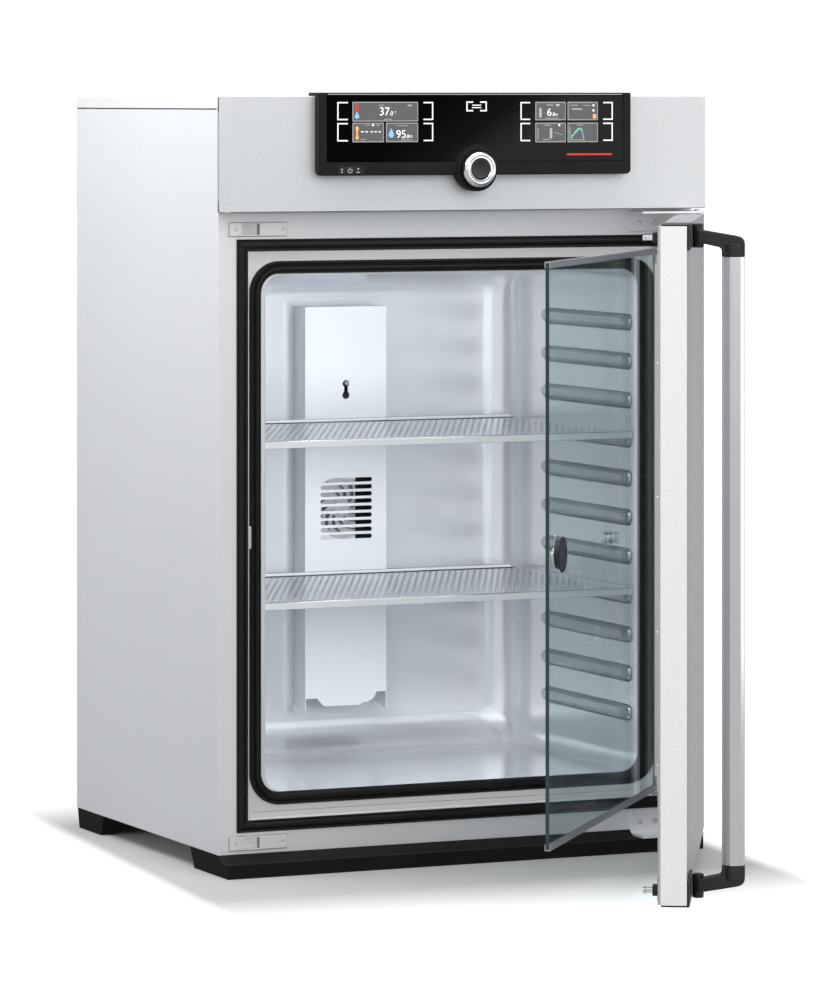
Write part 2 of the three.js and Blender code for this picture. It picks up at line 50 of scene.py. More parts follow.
# ------------------------------------------------------------------ places
def turned(joint):
    """The door's place at rest, from its closed position: its joint's lower limit is the closed one."""
    j = JOINT[joint]
    p = Vector(j["pos_m"])
    turn = Matrix.Rotation(math.radians(-j["range_deg"][0]), 4, "Z")
    return Matrix.Translation(p) @ turn @ Matrix.Translation(-p)


DOOR = turned("outer_door_hinge")
GLASS = turned("glass_door_hinge")
DOOR_DEG = -JOINT["outer_door_hinge"]["range_deg"][0]
GLASS_DEG = -JOINT["glass_door_hinge"]["range_deg"][0]


def span(node, place=IDENT):
    """((x0, x1), (y0, y1), (z0, z1)) of a CAD node in mm, in the closed position when place is a door's."""
    inv = place.inverted()
    pts = [inv @ v.co for v in NODES[node].data.vertices]
    return tuple((min(p[i] for p in pts) / MM, max(p[i] for p in pts) / MM) for i in range(3))


def mid(pair):
    return (pair[0] + pair[1]) / 2


def front_plane(y):
    """Local x, y, z go to x, z and towards the front, from the plane at y."""
    return Matrix(((1, 0, 0, 0), (0, 0, -1, y * MM), (0, 1, 0, 0), (0, 0, 0, 1)))


def side_plane(x):
    """Local x, y, z go to y, z and +x, from the plane at x."""
    return Matrix(((0, 0, 1, x * MM), (1, 0, 0, 0), (0, 1, 0, 0), (0, 0, 0, 1)))


def flat_plane(z):
    return Matrix.Translation((0, 0, z * MM))


def axis_at(x, y, z, way):
    """Local z goes along way from the point."""
    turn = Vector((0, 0, 1)).rotation_difference(Vector(way)).to_matrix().to_4x4()
    return Matrix.Translation((x * MM, y * MM, z * MM)) @ turn


# ------------------------------------------------------------------ materials
def node(nt, kind, **values):
    n = nt.nodes.new(kind)
    for k, v in values.items():
        setattr(n, k, v)
    return n


def link(nt, a, b):
    nt.links.new(a, b)


def position(nt, turn=0.0):
    """Object position in metres, turned back to the closed position of a door."""
    tc = node(nt, "ShaderNodeTexCoord")
    if not turn:
        return tc.outputs["Object"]
    r = node(nt, "ShaderNodeVectorRotate", rotation_type="Z_AXIS")
    r.inputs["Angle"].default_value = -math.radians(turn)
    link(nt, tc.outputs["Object"], r.inputs["Vector"])
    return r.outputs["Vector"]


def math_node(nt, op, a, b=None, c=None, clamp=False):
    m = node(nt, "ShaderNodeMath", operation=op, use_clamp=clamp)
    for i, v in enumerate((a, b, c)):
        if v is None:
            continue
        if isinstance(v, (int, float)):
            m.inputs[i].default_value = v
        else:
            link(nt, v, m.inputs[i])
    return m.outputs[0]


def noise(nt, vec, scale, stretch=(1, 1, 1), detail=3.0, rough=0.5):
    mp = node(nt, "ShaderNodeMapping")
    mp.inputs["Scale"].default_value = stretch
    link(nt, vec, mp.inputs["Vector"])
    n = node(nt, "ShaderNodeTexNoise")
    n.inputs["Scale"].default_value = scale
    n.inputs["Detail"].default_value = detail
    n.inputs["Roughness"].default_value = rough
    link(nt, mp.outputs[0], n.inputs["Vector"])
    return n.outputs["Fac"]


def ramp(nt, fac, stops, interpolation="LINEAR"):
    r = node(nt, "ShaderNodeValToRGB")
    r.color_ramp.interpolation = interpolation
    e = r.color_ramp.elements
    while len(e) > 1:
        e.remove(e[-1])
    e[0].position, e[0].color = stops[0][0], (*stops[0][1], 1)
    for p, c in stops[1:]:
        s = e.new(p)
        s.color = (*c, 1)
    link(nt, fac, r.inputs["Fac"])
    return r.outputs["Color"]


def scaled(c, k):
    return tuple(min(1.0, max(0.0, x * k)) for x in c)


def mapped(nt, fac, a, b, lo=0.0, hi=1.0):
    m = node(nt, "ShaderNodeMapRange")
    m.inputs["From Min"].default_value, m.inputs["From Max"].default_value = lo, hi
    m.inputs["To Min"].default_value, m.inputs["To Max"].default_value = a, b
    link(nt, fac, m.inputs["Value"])
    return m.outputs["Result"]


def start(name):
    m = bpy.data.materials.new(name)
    m.use_nodes = True
    nt = m.node_tree
    return m, nt, nt.nodes["Principled BSDF"]


def bump(nt, bsdf, height, strength, distance):
    b = node(nt, "ShaderNodeBump")
    b.inputs["Strength"].default_value = strength
    b.inputs["Distance"].default_value = distance
    link(nt, height, b.inputs["Height"])
    link(nt, b.outputs["Normal"], bsdf.inputs["Normal"])


def linen(name, color, rough=0.42, metal=0.75, turn=0.0, top=False, strength=0.25):
    """Stainless sheet rolled with a linen pattern: short crossing threads about 3 mm long and 1 mm wide."""
    m, nt, bsdf = start(name)
    pos = position(nt, turn)
    sep = node(nt, "ShaderNodeSeparateXYZ")
    link(nt, pos, sep.inputs[0])
    if top:
        u, v = sep.outputs["X"], sep.outputs["Y"]
    else:
        u, v = math_node(nt, "ADD", sep.outputs["X"], sep.outputs["Y"]), sep.outputs["Z"]
    uv = node(nt, "ShaderNodeCombineXYZ")
    link(nt, u, uv.inputs[0])
    link(nt, v, uv.inputs[1])
    warp = noise(nt, uv.outputs[0], 1.0, (420, 95, 1), 2.0, 0.6)
    weft = noise(nt, uv.outputs[0], 1.0, (95, 420, 1), 2.0, 0.6)
    weave = math_node(nt, "MAXIMUM", warp, weft)
    cloud = noise(nt, pos, 3.0, (1, 1, 1), 3.0)
    tone = math_node(nt, "ADD", math_node(nt, "MULTIPLY", weave, 0.75), math_node(nt, "MULTIPLY", cloud, 0.25))
    link(nt, ramp(nt, tone, [(0.3, scaled(color, 0.93)), (0.7, scaled(color, 1.05))]), bsdf.inputs["Base Color"])
    link(nt, mapped(nt, weave, rough - 0.06, rough + 0.08, 0.3, 0.8), bsdf.inputs["Roughness"])
    bsdf.inputs["Metallic"].default_value = metal
    bump(nt, bsdf, weave, strength, 0.0004)
    return m


def brushed(name, color, rough=0.3, metal=0.9, grain=(1, 1, 60), turn=0.0, depth=0.06, var=0.04, cloud_scale=2.5):
    """Ground or brushed stainless: fine grain lines along one direction over a soft cloudy tone."""
    m, nt, bsdf = start(name)
    pos = position(nt, turn)
    lines = noise(nt, pos, 20.0, grain, 4.0, 0.65)
    cloud = noise(nt, pos, cloud_scale, (1, 1, 1), 3.0)
    tone = math_node(nt, "ADD", math_node(nt, "MULTIPLY", lines, 0.5), math_node(nt, "MULTIPLY", cloud, 0.5))
    link(nt, ramp(nt, tone, [(0.3, scaled(color, 1 - var)), (0.7, scaled(color, 1 + var))]), bsdf.inputs["Base Color"])
    link(nt, mapped(nt, tone, rough - 0.04, rough + 0.05, 0.35, 0.65), bsdf.inputs["Roughness"])
    bsdf.inputs["Metallic"].default_value = metal
    bump(nt, bsdf, lines, depth, 0.0003)
    return m


def satin(name, color, rough=0.25, metal=0.6, turn=0.0, var=0.02, painted_glow=0.0):
    """Smooth bright-annealed sheet: a soft cloudy tone and slight change of gloss, no grain that can be seen. A glow,
    when given, is emission in the sheet's own colour: painted light, for the sheet is no lamp.
    """
    m, nt, bsdf = start(name)
    pos = position(nt, turn)
    cloud = noise(nt, pos, 5.0, (1, 1, 1), 4.0, 0.6)
    fine = noise(nt, pos, 60.0, (1, 1, 0.3), 3.0, 0.5)
    tone = math_node(nt, "ADD", math_node(nt, "MULTIPLY", fine, 0.35), math_node(nt, "MULTIPLY", cloud, 0.65))
    link(nt, ramp(nt, tone, [(0.3, scaled(color, 1 - var)), (0.7, scaled(color, 1 + var))]), bsdf.inputs["Base Color"])
    link(nt, mapped(nt, cloud, rough - 0.02, rough + 0.02, 0.3, 0.7), bsdf.inputs["Roughness"])
    bsdf.inputs["Metallic"].default_value = metal
    # painted light: emission in the sheet's own colour makes it glow as if lit
    if painted_glow:
        bsdf.inputs["Emission Color"].default_value = (*color, 1)
        bsdf.inputs["Emission Strength"].default_value = painted_glow
    return m


def moulded(name, color, rough=0.45, scale=900.0, depth=0.15, var=0.12, turn=0.0, spec=0.5, coat=0.0):
    """Moulded plastic or rubber: fine leather-like grain, slightly mottled."""
    m, nt, bsdf = start(name)
    pos = position(nt, turn)
    grain = noise(nt, pos, scale, (1, 1, 1), 2.0, 0.6)
    cloud = noise(nt, pos, 18.0, (1, 1, 1), 3.0)
    link(nt, ramp(nt, cloud, [(0.3, scaled(color, 1 - var)), (0.7, scaled(color, 1 + var))]), bsdf.inputs["Base Color"])
    link(nt, mapped(nt, grain, rough - 0.06, rough + 0.08, 0.3, 0.7), bsdf.inputs["Roughness"])
    bsdf.inputs["Specular IOR Level"].default_value = spec
    bsdf.inputs["Coat Weight"].default_value = coat
    bump(nt, bsdf, grain, depth, 0.0002)
    return m


def polished(name, color, rough=0.1, metal=1.0):
    m, nt, bsdf = start(name)
    pos = position(nt)
    fine = noise(nt, pos, 260.0, (1, 1, 1), 3.0)
    link(nt, ramp(nt, fine, [(0.3, scaled(color, 0.97)), (0.7, scaled(color, 1.02))]), bsdf.inputs["Base Color"])
    link(nt, mapped(nt, fine, rough * 0.7, rough * 1.4, 0.3, 0.7), bsdf.inputs["Roughness"])
    bsdf.inputs["Metallic"].default_value = metal
    bump(nt, bsdf, fine, 0.02, 0.0001)
    return m


def lit(name, color, strength=1.0, dim=0.8):
    """A lit area of the display, with the fine pixel pattern of a panel."""
    m, nt, bsdf = start(name)
    pos = position(nt)
    dots = noise(nt, pos, 1500.0, (1, 1, 1), 1.0)
    c = ramp(nt, dots, [(0.3, scaled(color, dim)), (0.7, color)])
    link(nt, c, bsdf.inputs["Base Color"])
    link(nt, c, bsdf.inputs["Emission Color"])
    bsdf.inputs["Emission Strength"].default_value = strength
    bsdf.inputs["Roughness"].default_value = 0.25
    return m


def speckled(name, color, other, rough=0.8, scale=160.0, depth=0.5, metal=0.0):
    m, nt, bsdf = start(name)
    pos = position(nt)
    n = noise(nt, pos, scale, (1, 1, 1), 4.0, 0.7)
    link(nt, ramp(nt, n, [(0.35, color), (0.65, other)]), bsdf.inputs["Base Color"])
    bsdf.inputs["Roughness"].default_value = rough
    bsdf.inputs["Metallic"].default_value = metal
    bump(nt, bsdf, n, depth, 0.0006)
    return m


def glass_material(name, tint, turn=0.0):
    """Clear float glass with a green cast. Shadow rays go straight through, so the chamber behind it stays lit."""
    m, nt, bsdf = start(name)
    pos = position(nt, turn)
    streak = noise(nt, pos, 4.0, (1, 1, 0.3), 2.0)
    link(nt, ramp(nt, streak, [(0.3, scaled(tint, 0.985)), (0.7, scaled(tint, 1.0))]), bsdf.inputs["Base Color"])
    link(nt, mapped(nt, streak, 0.005, 0.02), bsdf.inputs["Roughness"])
    bsdf.inputs["IOR"].default_value = 1.13
    bsdf.inputs["Transmission Weight"].default_value = 1.0
    out = nt.nodes["Material Output"]
    clear = node(nt, "ShaderNodeBsdfTransparent")
    clear.inputs["Color"].default_value = (*scaled(tint, 0.98), 1)
    path = node(nt, "ShaderNodeLightPath")
    mix = node(nt, "ShaderNodeMixShader")
    link(nt, path.outputs["Is Shadow Ray"], mix.inputs[0])
    link(nt, bsdf.outputs[0], mix.inputs[1])
    link(nt, clear.outputs[0], mix.inputs[2])
    link(nt, mix.outputs[0], out.inputs["Surface"])
    return m


def panel_painted_sheen(name):
    """The control window: near black on the left, with a soft grey sheen that starts along a slanting line, a
    reflection painted into the base colour.
    """
    m, nt, bsdf = start(name)
    pos = position(nt)
    sep = node(nt, "ShaderNodeSeparateXYZ")
    link(nt, pos, sep.inputs[0])
    slant = math_node(nt, "ADD", sep.outputs["X"], math_node(nt, "MULTIPLY", sep.outputs["Z"], -1.45))
    n = noise(nt, pos, 14.0)
    fac = math_node(nt, "ADD", mapped(nt, slant, 0.0, 1.0, -1.56, -1.36), math_node(nt, "MULTIPLY", n, 0.06))
    # painted reflection: the base colour goes from near black to grey across the slanting line
    link(nt, ramp(nt, fac, [(0.0, (0.0012, 0.0012, 0.0013)), (0.55, (0.006, 0.006, 0.006)), (1.0, (0.026, 0.025, 0.024))]), bsdf.inputs["Base Color"])
    link(nt, mapped(nt, n, 0.12, 0.2, 0.3, 0.7), bsdf.inputs["Roughness"])
    bsdf.inputs["Specular IOR Level"].default_value = 0.02
    return m


LINEN = (0.745, 0.755, 0.765)
M = {
    "side": linen("mat_linen_side", (0.82, 0.835, 0.85), 0.5, 0.15, strength=0.15),
    "linen": linen("mat_linen_front", LINEN, 0.44, 0.4, strength=0.5),
    "top": linen("mat_linen_top", (0.86, 0.87, 0.88), 0.46, 0.15, top=True),
    "door": linen("mat_linen_door", (0.47, 0.48, 0.495), 0.34, 0.92, turn=DOOR_DEG, strength=0.12),
    "rear": linen("mat_linen_rear", (0.72, 0.735, 0.74), 0.48, 0.6, strength=0.25),
    "frame": satin("mat_frame_steel", (0.94, 0.93, 0.935), 0.34, 0.42, var=0.012),
    "chamber": satin("mat_chamber_steel", (0.89, 0.905, 0.93), 0.18, 0.66),
    # beads: a darker copy of the chamber steel, painted shade on the pressed beads
    "bead": satin("mat_bead_steel_painted_shade", (0.50, 0.53, 0.57), 0.18, 0.8),
    "cover": satin("mat_fan_cover_steel", (0.80, 0.825, 0.865), 0.44, 0.22, var=0.012),
    "shelf": satin("mat_shelf_steel", (0.80, 0.82, 0.85), 0.24, 0.82),
    "door_inner": satin("mat_door_inner_steel", (0.60, 0.62, 0.65), 0.26, 0.85, turn=DOOR_DEG),
    "rail": brushed("mat_glass_rail", (0.56, 0.54, 0.57), 0.34, 0.85, grain=(2, 30, 30), turn=GLASS_DEG),
    # a brighter copy of the door's linen steel for its folded edge: painted light
    "door_edge_lit_copy": linen("mat_linen_door_edge_painted_light", (0.95, 0.955, 0.965), 0.5, 0.05, turn=DOOR_DEG, strength=0.08),
    # keeper pocket steel glows a little: painted light inside the slots
    "pocket": satin("mat_keeper_pocket_painted_glow", (0.80, 0.79, 0.79), 0.4, 0.2, painted_glow=0.14),
    # fan shroud steel glows: painted light behind the cover
    "fan_back": satin("mat_fan_back_painted_glow", (0.82, 0.83, 0.85), 0.4, 0.3, painted_glow=0.30),
    # shelf lip: a brighter, glowing copy of the shelf steel, painted light on the folded front
    "shelf_lip": satin("mat_shelf_lip_painted_light", (0.95, 0.955, 0.965), 0.36, 0.1, painted_glow=0.10),
    # flange: a darker, duller copy of the chamber steel, painted shade
    "flange": satin("mat_flange_painted_shade", (0.37, 0.368, 0.372), 0.5, 0.08, var=0.012),
    # dark grey for painted shadow round the beads and painted shade on the fan blades
    "bead_groove": satin("mat_painted_shade_dark", (0.16, 0.18, 0.195), 0.35, 0.5),
    # dark grey for the line round the keeper plates and for painted shade in the keeper slots
    "groove": satin("mat_fine_groove_and_painted_shade", (0.30, 0.295, 0.295), 0.5, 0.2),
    # fan wheel steel glows: painted light behind the cover
    "fan": satin("mat_fan_wheel_painted_glow", (0.74, 0.75, 0.77), 0.34, 0.4, painted_glow=0.26),
    # near black for the gaps between casing panels and for painted shadow lines at the header
    "seam": moulded("mat_panel_gap_and_painted_shadow", (0.02, 0.02, 0.021), 0.8, scale=400),
    "chrome": polished("mat_chrome", (0.86, 0.87, 0.88), 0.1),
    "bright": satin("mat_bright_steel", (0.80, 0.80, 0.81), 0.24, 0.9, var=0.015),
    "alu": satin("mat_satin_aluminium", (0.80, 0.80, 0.815), 0.17, 1.0, turn=DOOR_DEG, var=0.01),
    "motor": brushed("mat_cast_aluminium", (0.55, 0.56, 0.58), 0.5, 0.8, grain=(3, 3, 3), depth=0.2),
    "black": moulded("mat_black_plastic", (0.014, 0.0135, 0.014), 0.42),
    "foot": moulded("mat_foot_plastic", (0.011, 0.0108, 0.0105), 0.68, scale=600, depth=0.2, spec=0.12),
    "bezel": moulded("mat_bezel_plastic", (0.010, 0.010, 0.0102), 0.5, scale=1200, depth=0.1, spec=0.16),
    "rubber": moulded("mat_gasket_rubber", (0.004, 0.004, 0.0042), 0.45, scale=700, depth=0.08, spec=0.3),
    "gloss": panel_painted_sheen("mat_panel_window_painted_sheen"),
    "glass": glass_material("mat_door_glass", (0.755, 0.855, 0.865), GLASS_DEG),
    "wool": speckled("mat_mineral_wool", (0.62, 0.55, 0.33), (0.80, 0.75, 0.52), 0.95, 220, 0.8),
    "foil": speckled("mat_heater_foil", (0.42, 0.17, 0.05), (0.58, 0.26, 0.09), 0.4, 60, 0.2, 0.3),
    "board": speckled("mat_circuit_board", (0.01, 0.10, 0.04), (0.02, 0.16, 0.07), 0.5, 300, 0.2),
    "tile": lit("mat_display_tile", (0.088, 0.086, 0.084), 0.75),
    "tile_edge": lit("mat_display_tile_edge", (0.30, 0.30, 0.30), 0.75),
    "white": lit("mat_display_white", (0.80, 0.80, 0.80), 0.9, 0.85),
    "grey": lit("mat_display_grey", (0.36, 0.36, 0.36), 0.8),
    "red": lit("mat_display_red", (0.50, 0.03, 0.02), 0.8),
    "blue": lit("mat_display_blue", (0.18, 0.45, 0.70), 0.9),
    "amber": lit("mat_display_amber", (0.72, 0.36, 0.10), 0.9),
    "green": lit("mat_display_green", (0.25, 0.60, 0.20), 0.9),
    "dark": moulded("mat_dark_cavity", (0.004, 0.004, 0.0045), 0.7, scale=400),
}


def edge_glass():
    m, nt, bsdf = start("mat_glass_edge")
    n = noise(nt, position(nt, GLASS_DEG), 30.0, (1, 1, 0.05), 3.0)
    link(nt, ramp(nt, n, [(0.3, (0.010, 0.030, 0.032)), (0.7, (0.022, 0.055, 0.058))]), bsdf.inputs["Base Color"])
    link(nt, mapped(nt, n, 0.12, 0.25), bsdf.inputs["Roughness"])
    bsdf.inputs["Coat Weight"].default_value = 0.4
    return m


M["glass_edge"] = edge_glass()

# ------------------------------------------------------------------ meshes
def shade(me, angle):
    bm = bmesh.new()
    bm.from_mesh(me)
    bmesh.ops.remove_doubles(bm, verts=bm.verts, dist=1e-6)
    bmesh.ops.recalc_face_normals(bm, faces=bm.faces)
    bm.to_mesh(me)
    bm.free()
    for p in me.polygons:
        p.use_smooth = True
    me.set_sharp_from_angle(angle=math.radians(angle))
    me.update()


def piece(name, me, material, body, place=IDENT, slot=None, replaces=(), bevel=0.0, segments=2, angle=32, weighted=True, edge_angle=30):
    """A finished piece of one mesh, given in mm-scale metres in the closed position."""
    shade(me, angle)
    me.transform(place)
    me.name = name
    ob = bpy.data.objects.new(name, me)
    bpy.context.scene.collection.objects.link(ob)
    for m in material if isinstance(material, (list, tuple)) else [material]:
        me.materials.append(M[m])
    if bevel:
        b = ob.modifiers.new("edge", "BEVEL")
        b.width, b.segments = bevel * MM, segments
        b.limit_method, b.angle_limit = "ANGLE", math.radians(edge_angle)
        b.use_clamp_overlap = True
        b.harden_normals = False
        b.loop_slide = True
    if weighted:
        w = ob.modifiers.new("normals", "WEIGHTED_NORMAL")
        w.keep_sharp = True
    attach(ob, body)
    if replaces:
        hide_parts(*replaces)
    return ob


def raw(verts, faces, place=IDENT):
    me = bpy.data.meshes.new("m")
    me.from_pydata([(x * MM, y * MM, z * MM) for x, y, z in verts], [], faces)
    me.validate()
    me.transform(place)
    me.update()
    return me


def joined(*meshes):
    bm = bmesh.new()
    for me in meshes:
        bm.from_mesh(me)
        bpy.data.meshes.remove(me)
    out = bpy.data.meshes.new("m")
    bm.to_mesh(out)
    bm.free()
    return out


def rings(loops, wrap=False, caps=True):
    """Faces between loops of equal length; wrap closes the row of loops into a ring, caps closes its two ends."""
    n = len(loops[0])
    verts = [p for l in loops for p in l]
    faces = []
    for k in range(len(loops) if wrap else len(loops) - 1):
        a, b = k * n, ((k + 1) % len(loops)) * n
        for i in range(n):
            j = (i + 1) % n
            faces.append((a + i, a + j, b + j, b + i))
    if caps and not wrap:
        faces.append(tuple(range(n))[::-1])
        faces.append(tuple(range((len(loops) - 1) * n, len(loops) * n)))
    return raw(verts, faces)


def lathe(profile, seg=48, place=IDENT, closed=False):
    """Profile of (radius, height) about local z. A profile that starts and ends on the axis makes a closed body, and closed joins its ends."""
    verts, index = [], []
    for r, h in profile:
        if r < 1e-6:
            index.append([len(verts)] * seg)
            verts.append((0, 0, h))
        else:
            index.append(list(range(len(verts), len(verts) + seg)))
            verts += [(r * math.cos(2 * math.pi * i / seg), r * math.sin(2 * math.pi * i / seg), h) for i in range(seg)]
    faces = []
    rows = len(profile)
    for k in range(rows if closed else rows - 1):
        a, b = index[k], index[(k + 1) % rows]
        for i in range(seg):
            j = (i + 1) % seg
            f = []
            for v in (a[i], a[j], b[j], b[i]):
                if v not in f:
                    f.append(v)
            if len(f) > 2:
                faces.append(tuple(f))
    return raw(verts, faces, place)


def sheet(outlines, thick, bevel=0.3, place=IDENT, res=2):
    """A flat plate from an outline and its holes, with rounded edges, centred on its plane."""
    cu = bpy.data.curves.new("c", "CURVE")
    cu.dimensions, cu.fill_mode = "2D", "BOTH"
    cu.extrude = max(thick / 2 - bevel, 0.0) * MM
    cu.bevel_depth, cu.bevel_resolution, cu.offset = bevel * MM, res, -bevel * MM
    for pts in outlines:
        sp = cu.splines.new("POLY")
        sp.points.add(len(pts) - 1)
        for p, (a, b) in zip(sp.points, pts):
            p.co = (a * MM, b * MM, 0, 1)
        sp.use_cyclic_u = True
    ob = bpy.data.objects.new("c", cu)
    bpy.context.scene.collection.objects.link(ob)
    dg = bpy.context.evaluated_depsgraph_get()
    me = bpy.data.meshes.new_from_object(ob.evaluated_get(dg), depsgraph=dg)
    bpy.data.objects.remove(ob)
    bpy.data.curves.remove(cu)
    me.materials.clear()
    me.transform(place)
    return me


def rrect(x0, x1, y0, y1, r, n=6, radii=None):
    rs = radii or (r, r, r, r)  # lower left, lower right, upper right, upper left
    out = []
    for (cx, cy, a0), q in zip((((x0, 1), (y0, 1), 180), ((x1, -1), (y0, 1), 270), ((x1, -1), (y1, -1), 0), ((x0, 1), (y1, -1), 90)), rs):
        px, py = cx[0] + cx[1] * q, cy[0] + cy[1] * q
        if q < 1e-6:
            out.append((px, py))
            continue
        for i in range(n + 1):
            a = math.radians(a0 + 90 * i / n)
            out.append((px + q * math.cos(a), py + q * math.sin(a)))
    return out


def circle(x, y, r, n=40):
    return [(x + r * math.cos(2 * math.pi * i / n), y + r * math.sin(2 * math.pi * i / n)) for i in range(n)]


def block(x0, x1, y0, y1, z0, z1):
    v = [(x, y, z) for z in (z0, z1) for y in (y0, y1) for x in (x0, x1)]
    return raw(v, [(0, 2, 3, 1), (4, 5, 7, 6), (0, 1, 5, 4), (2, 6, 7, 3), (0, 4, 6, 2), (1, 3, 7, 5)])


def loop_at(y, hw, z0, z1, r, n=8, cx=0.0):
    """A rounded rectangle about x = cx in the plane at y."""
    return [(cx + a, y, b) for a, b in rrect(-hw, hw, z0, z1, r, n)]


def cad_copy(name, new, material, body, place=IDENT, **kw):
    """A node's own shape, cleaned and with its edges rounded, standing for it."""
    bm = bmesh.new()
    bm.from_mesh(NODES[name].data)
    bmesh.ops.remove_doubles(bm, verts=bm.verts, dist=3e-6)
    bmesh.ops.dissolve_limit(bm, angle_limit=math.radians(0.6), verts=bm.verts, edges=bm.edges)
    bmesh.ops.transform(bm, matrix=place.inverted(), verts=bm.verts)
    bm.verts.ensure_lookup_table()
    bm.verts.index_update()
    verts = [tuple(c / MM for c in v.co) for v in bm.verts]
    faces = [tuple(v.index for v in f.verts) for f in bm.faces]
    bm.free()
    return piece(new, raw(verts, faces), material, body, place, replaces=(name,), **kw)


# ------------------------------------------------------------------ casing
cad_copy("left_side_panel", "left_side_sheet", "side", "cabinet", bevel=0.7, slot="linen_steel")
cad_copy("right_side_panel", "right_side_sheet", "side", "cabinet", bevel=0.7, slot="linen_steel")
cad_copy("top_cover", "top_lid", "top", "cabinet", bevel=1.0, segments=3, slot="linen_steel")
cad_copy("rear_panel", "rear_sheet", "rear", "cabinet", bevel=0.5, slot="linen_steel")
cad_copy("base_panel", "base_sheet", "frame", "cabinet", bevel=0.4, slot="frame_steel")
cad_copy("front_frame", "front_frame_sheet", "frame", "cabinet", bevel=0.4, slot="frame_steel")
cad_copy("header_housing", "header_shell", "linen", "cabinet", bevel=1.1, segments=3, slot="linen_steel")

(RX0, RX1), (RY0, RY1), (RZ0, RZ1) = span("rear_panel")
screws = []
for x in (-311, 0, 311):
    for z in (82, 528, 973):
        if x == 0 and z == 528:
            continue
        screws.append(lathe([(0, 2.4), (1.6, 2.4), (3.1, 1.9), (4.2, 0.9), (4.5, 0), (4.5, -1.5), (0, -1.5)], 20, axis_at(x, RY1, z, (0, 1, 0))))
        screws.append(raw([(-2.6, 2.41, -0.45), (2.6, 2.41, -0.45), (2.6, 2.41, 0.45), (-2.6, 2.41, 0.45), (-2.6, 2.7, -0.45), (2.6, 2.7, -0.45), (2.6, 2.7, 0.45), (-2.6, 2.7, 0.45)],
                          [(0, 1, 2, 3), (7, 6, 5, 4), (0, 4, 5, 1), (1, 5, 6, 2), (2, 6, 7, 3), (3, 7, 4, 0)],
                          Matrix.Translation((x * MM, RY1 * MM, z * MM))))
piece("rear_cover_screws", joined(*screws), "bright", "cabinet", slot="bright_steel")
lines = []
for z in (250, 450, 650):
    lines.append(sheet([rrect(-290, 290, z - 1.2, z + 1.2, 1.1)], 0.9, 0.35, front_plane(RY1 + 0.2)))
piece("rear_cover_beads", joined(*lines), "rear", "cabinet", slot="linen_steel")

(QX0, QX1), (QY0, QY1), (QZ0, QZ1) = span("left_side_panel")
(TX0, TX1), (TY0, TY1), (TZ0, TZ1) = span("top_cover")
(HX0, HX1), (HY0, HY1), (HZ0, HZ1) = span("header_housing")
fold = TZ0 if TZ0 > 1000 else 1031.5
gaps = []
for x in (QX0 - 0.12, -QX0 + 0.12):
    gaps.append(block(x - 0.1, x + 0.1, QY0 + 3, TY1 - 4, 1031.1, 1032.4))
    gaps.append(block(x - 0.1, x + 0.1, -1.0, 0.6, HZ0, HZ1 - 1.0))
    gaps.append(block(x - 0.1, x + 0.1, -2.4, 0.6, HZ1 - 22, HZ1 - 1.0))
    gaps.append(block(x - 0.1, x + 0.1, -2.4, 0.6, HZ0 + 0.5, HZ0 + 15))
piece("casing_gaps", joined(*gaps), "seam", "cabinet", slot="black_plastic", weighted=False)
# a black strip in the gap under the header, and a thin black line along the bottom of its front face, painted shadow of
# the folded edge
piece("header_gap_and_painted_shadow", joined(block(HX0 + 1, HX1 - 1, -3.0, 1.0, HZ0 - 0.7, HZ0 + 0.3), block(HX0 + 0.6, HX1 - 0.6, HY0 - 0.12, HY0 + 0.4, HZ0 + 0.2, HZ0 + 1.1)), "seam", "cabinet", slot="black_plastic", weighted=False)

# ------------------------------------------------------------------ chamber
(LX0, LX1), (LY0, LY1), (LZ0, LZ1) = span("chamber_liner")
FL_Y = LY0                                    # flange plane
HW, CZ0, CZ1, CY1, CR, FIL = 281.0, 106.5, 806.5, LY1 - 2.0, 26.0, 46.0
inner = []
for i in range(13):
    a = math.radians(90 - 7.5 * i)
    s = FIL * (1 - math.cos(a))
    inner.append((CY1 - FIL + FIL * math.sin(a), HW - s, CZ0 + s, CZ1 - s, max(CR - 0.22 * s, 12)))
for y in (300, 200, 100, 40):
    inner.append((y, HW, CZ0, CZ1, CR))
for i in range(7):
    t = math.radians(15 * i)
    o = 4.5 * (1 - math.cos(t))
    inner.append((FL_Y + 4.5 - 4.5 * math.sin(t), HW + o, CZ0 - o, CZ1 + o, CR + o))
inner.append((FL_Y, LX1 - 1, LZ0 + 1, LZ1 - 1, 1.2))
outer = [(FL_Y + 1.2, LX1 - 1, LZ0 + 1, LZ1 - 1, 1.2), (FL_Y + 1.2, HW + 9.5, CZ0 - 9.5, CZ1 + 9.5, CR + 9.5), (FL_Y + 8, HW + 1.4, CZ0 - 1.4, CZ1 + 1.4, CR + 1.4)]
for i in range(7):
    a = math.radians(15 * i)
    s = (FIL + 1.4) * (1 - math.cos(a))
    outer.append((CY1 - FIL + (FIL + 1.4) * math.sin(a), HW + 1.4 - s, CZ0 - 1.4 + s, CZ1 + 1.4 - s, max(CR + 1.4 - 0.22 * s, 12)))
liner = piece("chamber_shell", rings([loop_at(*r, n=10) for r in inner + outer]), "chamber", "cabinet", slot="chamber_steel", replaces=("chamber_liner",), angle=40)
# the flange's front faces take the darker, duller copy of the chamber steel: painted shade that keeps the lamp's glare
# off them
liner.data.materials.append(M["flange"])
for p in liner.data.polygons:
    if p.normal.y < -0.95 and p.center.y < (FL_Y + 0.6) * MM:
        p.material_index = 1

RIB_TOPS = [742.7 - 54.75 * i for i in range(11)]


